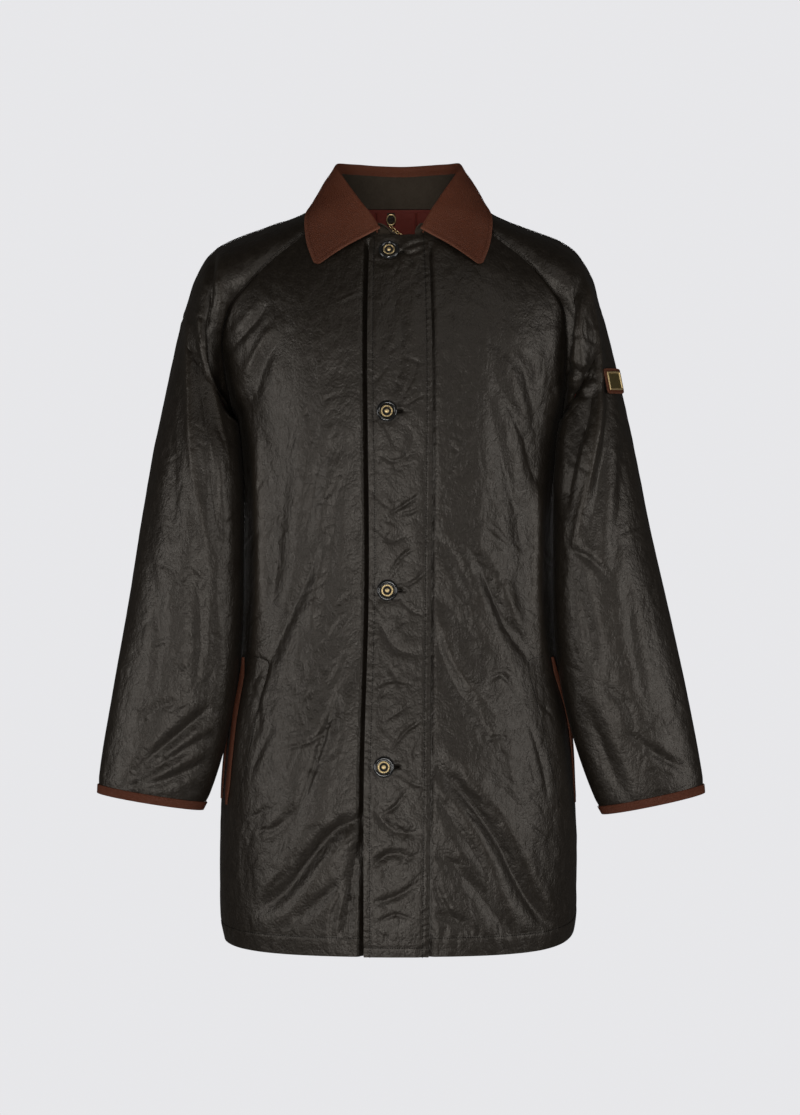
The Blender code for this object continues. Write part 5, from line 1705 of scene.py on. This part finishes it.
class JACKET_OT_badge(bpy.types.Operator):
    """Set the leather patch and its bare brass plate on the left sleeve"""

    bl_idname = "jacket.badge"
    bl_label = "Sleeve badge"

    def execute(self, context):
        grid, middle, shares = badge_grid(BADGE_WIDTH, BADGE_HEIGHT, 25, BADGE_CORNER)
        panel = Panel(grid, middle)
        rim = np.maximum(np.abs(shares[0]), np.abs(shares[1]))
        panel.height = LAID_GAP + LEATHER - PATCH_DIP * bump(rim - PATCH_DIP_AT, PATCH_DIP_WIDTH)
        panel.settle()
        item = panel_wall("leather_patch", panel, LEATHER, brown_leather(), ramp((rim - 0.88) / 0.12),
                          LEATHER_RIM)
        dress(item, ("badge_patch",))
        inset = 2 * BADGE_PLATE_INSET
        grid, middle, shares = badge_grid(BADGE_WIDTH - inset, BADGE_HEIGHT - inset, 49, PLATE_CORNER)
        rim = np.maximum(np.abs(shares[0]), np.abs(shares[1]))
        panel = Panel(grid, middle)
        low = LAID_GAP + LEATHER + LAID_GAP
        foot = grid + panel.normals * low
        frame_wall = ramp((rim - PLATE_FRAME) / 0.06) * (1 - ramp((rim - 0.95) / 0.05) * 0.5)
        panel.height = low + BADGE_PLATE_THICK * (0.45 + 0.75 * frame_wall)
        panel.settle()
        brass = metal("brass")
        item = wall_object("brass_plate", panel.cloth, foot, (brass, brass, metal("brass_dark")),
                           rim=THIN_RIM)
        centres = rim[:-1, :-1] + (rim[1:, 1:] - rim[:-1, :-1]) / 2
        slots = np.zeros(len(item.data.polygons), dtype=np.int32)
        slots[:centres.size] = np.where(centres.ravel() < PLATE_FRAME, 2, 0)
        item.data.polygons.foreach_set("material_index", slots)
        dress(item, ("badge_plate",))
        return {"FINISHED"}


# Buttons

BUTTON_RIM = Table("radius height", (
    (0.0086, 0), (0.0104, 0.0003), (0.0114, 0.0011), (0.0119, 0.0024), (0.0117, 0.0037), (0.011, 0.0047),
    (0.0101, 0.0052), (0.0092, 0.0051), (0.0085, 0.0045), (0.008, 0.0038), (0.0078, 0.0034),
    (0.004, 0.0033),
))
BUTTON_MIDDLE = Table("radius height brass", (
    (0.0072, 0.0036, 0), (0.0075, 0.0039, 0), (0.0073, 0.0042, 0), (0.0068, 0.0042, 1),
    (0.0067, 0.0047, 1), (0.0064, 0.005, 1), (0.0053, 0.005, 1), (0.005, 0.0047, 1), (0.0049, 0.0042, 0),
    (0.0024, 0.0042, 1), (0.0023, 0.0046, 1), (0.0016, 0.005, 1), (0.0006, 0.0052, 1),
))
BUTTON_STEPS = 64
BEADS = 20
BEAD_RADIUS = 0.0005
BEAD_RING = 0.00585
BEAD_HEIGHT = 0.005


def circle(count):
    """Cosines and sines of even steps round a circle."""
    angles = np.linspace(0, 2 * math.pi, count, endpoint=False)
    return np.cos(angles), np.sin(angles)


def turned_points(profile):
    """Points and faces turned from a profile, closed at both ends."""
    rows = np.array(profile.rows)
    radius, height = rows[:, :1], rows[:, 1:2]
    cosine, sine = circle(BUTTON_STEPS)
    rings = np.stack(np.broadcast_arrays(radius * cosine, radius * sine, height), axis=-1)
    ends = np.array(((0, 0, rows[0, 1]), (0, 0, rows[-1, 1])))
    points = np.concatenate((rings.reshape(-1, 3), ends))
    index = np.arange(len(rows) * BUTTON_STEPS).reshape(len(rows), BUTTON_STEPS)
    right = np.roll(index, -1, axis=1)
    quads = np.stack((index[:-1], right[:-1], right[1:], index[1:]), axis=-1).reshape(-1, 4)
    faces = [tuple(face) for face in quads]
    faces += [(len(points) - 2, second, first) for first, second in zip(index[0], right[0])]
    faces += [(len(points) - 1, first, second) for first, second in zip(index[-1], right[-1])]
    return points, faces


def join_mesh(item, other):
    """Add another object's mesh to an item's, and remove the other."""
    shape = bmesh.new()
    shape.from_mesh(item.data)
    shape.from_mesh(other.data)
    shape.to_mesh(item.data)
    shape.free()
    bpy.data.objects.remove(other, do_unlink=True)


class JACKET_OT_buttons(bpy.types.Operator):
    """Sew on the buttons: a black rim round a plain beaded brass middle"""

    bl_idname = "jacket.buttons"
    bl_label = "Buttons"

    def execute(self, context):
        for number, button in enumerate(BUTTONS.rows, start=1):
            lift = 2 * LAID_GAP + CLOTH
            centre, axis = body_lift(button.x, button.z, lift, False)
            facing = Vector(axis).to_track_quat("Z", "Y").to_matrix().to_4x4()
            turn = Matrix.Translation(Vector(centre)) @ facing
            rim = mesh_object("button_rim_%d" % number, *turned_points(BUTTON_RIM), (black_button(True),))
            cosine, sine = circle(BEADS)
            ring = np.stack((BEAD_RING * cosine, BEAD_RING * sine, np.full(BEADS, BEAD_HEIGHT)), axis=1)
            middle = mesh_object("button_middle_%d" % number, *turned_points(BUTTON_MIDDLE),
                                 (metal("brass"), black_button(False)))
            black = np.repeat([1 - row.brass for row in BUTTON_MIDDLE.rows], BUTTON_STEPS)
            middle.data.polygons.foreach_set("material_index", np.append(black, black[-BUTTON_STEPS:]))
            join_mesh(middle, grown("beads", [ring], bead_tree(), {
                "Bead": BEAD_RADIUS, "Material": metal("brass")}))
            for item, slot, node in ((rim, "button_black", "button_%d"),
                                     (middle, "brass", "button_inset_%d")):
                item.data.transform(turn)
                item.data.shade_smooth()
                item.data.set_sharp_from_angle(angle=math.radians(BUTTON_EDGE_ANGLE))
                dress(item, (node % number,))
        return {"FINISHED"}


# Inside the neck

def back_patch(centre_x, half_width, top_z, bottom_z, columns, rows):
    """Grid of the back's outer surface between two heights."""
    z = np.linspace(top_z, bottom_z, rows + 1)[:, None]
    x = centre_x + half_width * np.linspace(-1, 1, columns + 1)[None]
    x, z = np.broadcast_arrays(x, z)
    return body_point(body_angle(x, z), z, True)


LINING_SEAMS = (-0.027, 0.021)
LINING_SEAM = 0.0024      # depth of a lining seam, and the cloth raised beside it
LINING_SEAM_WIDTH = 0.0013
LINING_RISE = 0.001
LINING_RISE_WIDTH = 0.003
CHAIN = {"Pitch": 0.0046, "Link": 0.002, "Wire": 0.00052}
CHAIN_DROP = 0.001


class JACKET_OT_neck(bpy.types.Operator):
    """Line the inside of the neck and hang the chain there"""

    bl_idname = "jacket.neck"
    bl_label = "Neck lining and hanger"

    def execute(self, context):
        top_z, bottom_z = BACK_NECK_Z - LINING_START, BACK_NECK_Z - LINING_DEPTH
        grid = back_patch(0, LINING_HALF_WIDTH, top_z, bottom_z, 132, 21)
        panel = Panel(grid, NECK_MIDDLE)
        panel.height = np.full(grid.shape[:2], -LINING_SINK)
        for seam in LINING_SEAMS:
            panel.height -= LINING_RISE * bump(panel.x - seam - LINING_RISE_WIDTH, LINING_RISE_WIDTH)
            panel.height += LINING_SEAM * bump(panel.x - seam, LINING_SEAM_WIDTH)
        panel.settle()
        item = panel_wall("lining_neck", panel, LINING_CLOTH, lining_twill(), rim=THIN_RIM)
        dress_sheet(item, "neck_lining", panel.cut_size())
        ends = {hanger.name: self.hang(hanger) for hanger in HANGERS.rows}
        share = np.linspace(0, 1, 60)[:, None]
        path = ends["right"] + (ends["left"] - ends["right"]) * share
        path[:, 2] -= 4 * CHAIN_SAG * (share * (1 - share))[:, 0] + CHAIN_DROP
        chain = grown("brass_chain", [path], chain_tree(), {**CHAIN, "Material": metal("brass")})
        dress(chain, ("hanger_chain",))
        return {"FINISHED"}

    def hang(self, hanger):
        """A tab with its ring; returns the place where the chain starts."""
        tab_sink = LINING_SINK + LINING_CLOTH + LAID_GAP
        half = TAB_HEIGHT / 2
        grid = back_patch(hanger.x, TAB_WIDTH / 2, hanger.z + half, hanger.z - half, 10, 14)
        panel = Panel(grid, NECK_MIDDLE)
        outer = grid - panel.normals * tab_sink
        tab = wall_object("cloth_tab_" + hanger.name, outer, outer - panel.normals * TAB_THICK,
                          (waxed_cotton(),), panel.uv, panel.height, TAB_RIM)
        dress(tab, ("hanger_tab_" + hanger.name,))
        ring_sink = tab_sink + TAB_THICK + LAID_GAP + RING_WIRE
        centre, facing = body_lift(hanger.x, hanger.z, -ring_sink, True)
        across = unit(np.cross(facing, np.array((0, 0, 1))))
        up = np.cross(across, facing)
        cosine, sine = (part[:, None] for part in circle(48))
        out = across * cosine + up * RING_STRETCH * sine
        cosine, sine = (part[None, :, None] for part in circle(12))
        wire = unit(out)[:, None] * cosine + facing * sine
        rings = centre + (out * RING_RADIUS)[:, None] + RING_WIRE * wire
        ring = swept_object("brass_ring_" + hanger.name, rings, (metal("brass"),))
        dress(ring, ("hanger_ring_" + hanger.name,))
        return centre - up * (RING_RADIUS * RING_STRETCH + RING_WIRE + LAID_GAP)


# Stitching

STITCH_LIFT = 0.0001
BADGE_STITCH = 0.0021     # the patch's stitch line inside its edge
HOLE_STITCH = {"Pitch": 0.0007, "Length": 0.0009}
HOLE_OUT = 0.0105         # a buttonhole's middle from its button's, and its half sizes
HOLE_WIDE = 0.0068
HOLE_HIGH = 0.0016


def cloth_tree(panel):
    """A panel's outer face, to find places on it."""
    index = np.arange(panel.x.size).reshape(panel.x.shape)
    return BVHTree.FromPolygons(panel.cloth.reshape(-1, 3).tolist(), grid_quads(index).tolist())


def laid_path(tree, places, lift):
    """Points of a front-view path on a face, lifted off it."""
    steps = np.linspace(0, len(places) - 1, 40 * len(places))
    smooth = smooth_through(np.arange(len(places)), np.array(places), steps)
    points = []
    for x, z in smooth:
        hit, normal, index, distance = tree.ray_cast(Vector((x, -1, z)), Vector((0, 1, 0)))
        if hit is None:
            raise RuntimeError("no cloth behind a stitch at %.3f, %.3f" % (x, z))
        points.append(hit + normal * (lift if normal.y < 0 else -lift))
    return np.array([tuple(point) for point in points])


POCKET_STITCHES = (
    ((-0.166, -0.523), (-0.149, -0.53), (-0.156, -0.565), (-0.164, -0.596)),
    ((-0.164, -0.596), (-0.172, -0.635), (-0.18, -0.67), (-0.185, -0.696)),
)


def cloth_paths():
    """Stitch lines on the cloth."""
    panels = shell_panels()

    def line_on(panel, border, inset):
        return line_inside(panel.cloth + panel.normals * STITCH_LIFT, border, inset)

    placket = placket_panel()
    paths = [line_on(placket, "first_column", PLACKET_MARGIN),
             line_on(placket, "last_column", PLACKET_MARGIN),
             line_on(placket, "first_row", PLACKET_FOOT)]
    for name in ("front_left", "front_right", "back"):
        line = line_on(panels[name], "first_row", HEM_STITCH)
        outside = placket_run(line[:, 0], line[:, 2]) > 0.001
        paths.append(line[outside] if name != "back" else line)
    for name, side in SIDES:
        for half, behind in HALVES:
            line = line_on(panels["sleeve_%s_%s" % (name, half)], "last_column", RAGLAN_STITCH)
            raglan = even_steps(RAGLAN_LENGTH, BACK_STEP if behind else BODY_STEP)
            paths.append(line[:raglan])
        tree = cloth_tree(panels["front_" + name])
        for places in POCKET_STITCHES:
            paths.append(laid_path(tree, [(-side * x, z) for x, z in places], 2 * STITCH_LIFT))
    return paths


def leather_paths():
    """Stitch lines on the leather."""
    fall = collar_panel()
    face = fall.cloth + fall.normals * (STITCH_LIFT / 2)
    rows = slice(round(fall.cloth.shape[0] * 0.52), -3)
    paths = [line_inside(face, "first_column", COLLAR_STITCH)[rows],
             line_inside(face, "last_row", COLLAR_STITCH)[4:-4],
             line_inside(face, "last_column", COLLAR_STITCH)[rows]]
    inset = 2 * BADGE_STITCH
    grid, middle, shares = badge_grid(BADGE_WIDTH - inset, BADGE_HEIGHT - inset, 25, BADGE_CORNER)
    loop = grid + grid_normals(grid, middle) * (LAID_GAP + LEATHER - STITCH_LIFT)
    paths.append(np.concatenate((loop[0], loop[1:, -1], loop[-1, -2::-1], loop[-2::-1, 0])))
    return paths


def buttonhole_paths():
    """Close stitches round the buttonholes, on the placket beside each button."""
    tree = cloth_tree(placket_panel())
    paths = []
    for button in BUTTONS.rows:
        turn = np.linspace(0, 2 * math.pi, 48)
        x = button.x + HOLE_OUT + HOLE_WIDE * np.cos(turn)
        z = button.z + HOLE_HIGH * np.sin(turn)
        paths.append(laid_path(tree, list(zip(x, z)), STITCH_LIFT))
    return paths


class JACKET_OT_stitching(bpy.types.Operator):
    """Sew the stitch lines of cloth and leather"""

    bl_idname = "jacket.stitching"
    bl_label = "Stitching"

    def execute(self, context):
        # The cloth's thread colour is painted shade of its stitch holes
        dress(stitched("stitches_cloth", cloth_paths(), thread("thread")))
        dress(stitched("stitches_leather", leather_paths(), thread("leather_thread")))
        sizes = context.scene.jacket_sizes
        holes = grown("stitches_buttonholes", buttonhole_paths(), stitch_tree(), {
            **HOLE_STITCH, "Thread": sizes.stitch_width, "Material": thread("thread")})
        dress(holes)
        return {"FINISHED"}


# The studio

CAMERA_PLACE = (0.0018, -3.4, -0.409)
FRAME_HEIGHT = 1.3157     # what the picture shows at the jacket's distance
SENSOR = 36
FLOOR_Z = -1.3
FLOOR_RADIUS = 1.1
BACKDROP = (0.8, 0.8, 0.82)
AMBIENT = 0.03
AIM = (0, 0, -0.45)
LIGHTS = Table("name x y z size watts", (
    ("key_left", -2.45, -1.45, -0.4, 1.4, 22), ("key_right", 2.45, -1.45, -0.4, 1.4, 23),
    ("front", -0.4, -3.4, -1, 0.9, 32), ("top", 0.8, -2.5, 1.25, 1.2, 6), ("back", 0, 3.3, 0.1, 1.4, 40),
))
NECK_LIGHT_PLACE = (0, -1.5, 0.24)
NECK_LIGHT_AIM = (0, 0.06, 0)
NECK_LIGHT_CONE = 8
NECK_LIGHT_WATTS = 36


class JACKET_OT_stage(bpy.types.Operator):
    """Set the floor, the lights and the camera"""

    bl_idname = "jacket.stage"
    bl_label = "Studio"

    def execute(self, context):
        self.floor(context)
        self.world(context)
        for light in LIGHTS.rows:
            data = bpy.data.lights.new(light.name, "AREA")
            data.size = light.size
            data.energy = light.watts
            self.aim(data, (light.x, light.y, light.z), AIM)
        data = bpy.data.lights.new("neck", "SPOT")
        data.spot_size = math.radians(NECK_LIGHT_CONE)
        data.spot_blend = 0.8
        data.shadow_soft_size = 0.05
        data.energy = NECK_LIGHT_WATTS
        self.aim(data, NECK_LIGHT_PLACE, NECK_LIGHT_AIM)
        data = bpy.data.cameras.new("camera")
        data.sensor_fit = "VERTICAL"
        data.sensor_width = SENSOR
        data.sensor_height = SENSOR
        data.lens = SENSOR * -CAMERA_PLACE[1] / FRAME_HEIGHT
        camera = new_object("camera", data)
        camera.location = CAMERA_PLACE
        camera.rotation_euler = (math.pi / 2, 0, 0)
        context.scene.camera = camera
        context.scene.view_settings.view_transform = "Standard"
        return {"FINISHED"}

    def aim(self, light, place, target):
        """Put a light in its place and turn it to its target."""
        item = new_object(light.name, light)
        item.location = place
        item.rotation_euler = (Vector(target) - Vector(place)).to_track_quat("-Z", "Y").to_euler()

    def floor(self, context):
        """A pale round floor that fades into the backdrop."""
        shape = bmesh.new()
        bmesh.ops.create_circle(shape, cap_ends=True, segments=96, radius=FLOOR_RADIUS)
        mesh = bpy.data.meshes.new("floor")
        shape.to_mesh(mesh)
        shape.free()
        mesh.transform(Matrix.Translation((0, 0, FLOOR_Z)))
        material, tree, shader = new_material("floor", {
            "Base Color": rgba(context.scene.jacket_colours.floor), "Roughness": 0.9})
        where = place_node(tree, "ShaderNodeTexCoord")
        flat = place_node(tree, "ShaderNodeVectorMath", {
            0: where.outputs["Object"], 1: (1, 1, 0)}, operation="MULTIPLY")
        run = place_node(tree, "ShaderNodeVectorMath", {0: flat.outputs[0]}, operation="LENGTH")
        share = map_range(tree, run.outputs["Value"], 0.55, FLOOR_RADIUS * 0.97, 0, 1)
        clear = place_node(tree, "ShaderNodeBsdfTransparent")
        mixed = place_node(tree, "ShaderNodeMixShader", {
            0: share, 1: shader.outputs[0], 2: clear.outputs[0]})
        tree.links.new(mixed.outputs[0], tree.nodes["Material Output"].inputs["Surface"])
        mesh.materials.append(material)
        item = new_object("floor", mesh)

    def world(self, context):
        """A pale backdrop that lights the jacket only a little."""
        world = bpy.data.worlds.new("studio")
        world.use_nodes = True
        tree = world.node_tree
        sky = tree.nodes["Background"]
        sky.inputs["Color"].default_value = rgba(BACKDROP)
        path = place_node(tree, "ShaderNodeLightPath")
        strength = map_range(tree, path.outputs["Is Camera Ray"], 0, 1, AMBIENT, 1)
        tree.links.new(strength, sky.inputs["Strength"])
        context.scene.world = world


OPERATORS = (JACKET_OT_shell, JACKET_OT_placket, JACKET_OT_collar, JACKET_OT_bindings, JACKET_OT_pockets,
             JACKET_OT_badge, JACKET_OT_buttons, JACKET_OT_neck, JACKET_OT_stitching, JACKET_OT_stage)


class JACKET_PT_pieces(bpy.types.Panel):
    """Pieces of the jacket, in the order in which they are made"""

    bl_idname = "JACKET_PT_pieces"
    bl_label = "Wax Jacket"
    bl_space_type = "VIEW_3D"
    bl_region_type = "UI"
    bl_category = "Jacket"

    def draw(self, context):
        for group in (context.scene.jacket_sizes, context.scene.jacket_colours):
            for name in group.__annotations__:
                self.layout.prop(group, name)
        for operator in OPERATORS:
            self.layout.operator(operator.bl_idname)


CLASSES = (JacketSizes, JacketColours) + OPERATORS + (JACKET_PT_pieces,)


def register():
    """Add the classes and the scene's settings."""
    for item in CLASSES:
        bpy.utils.register_class(item)
    bpy.types.Scene.jacket_sizes = bpy.props.PointerProperty(type=JacketSizes)
    bpy.types.Scene.jacket_colours = bpy.props.PointerProperty(type=JacketColours)


def unregister():
    """Remove what register added."""
    del bpy.types.Scene.jacket_colours
    del bpy.types.Scene.jacket_sizes
    for item in reversed(CLASSES):
        bpy.utils.unregister_class(item)


def main():
    """Make every piece."""
    register()
    for operator in OPERATORS:
        group, name = operator.bl_idname.split(".")
        getattr(getattr(bpy.ops, group), name)()


if __name__ == "__main__":
    main()
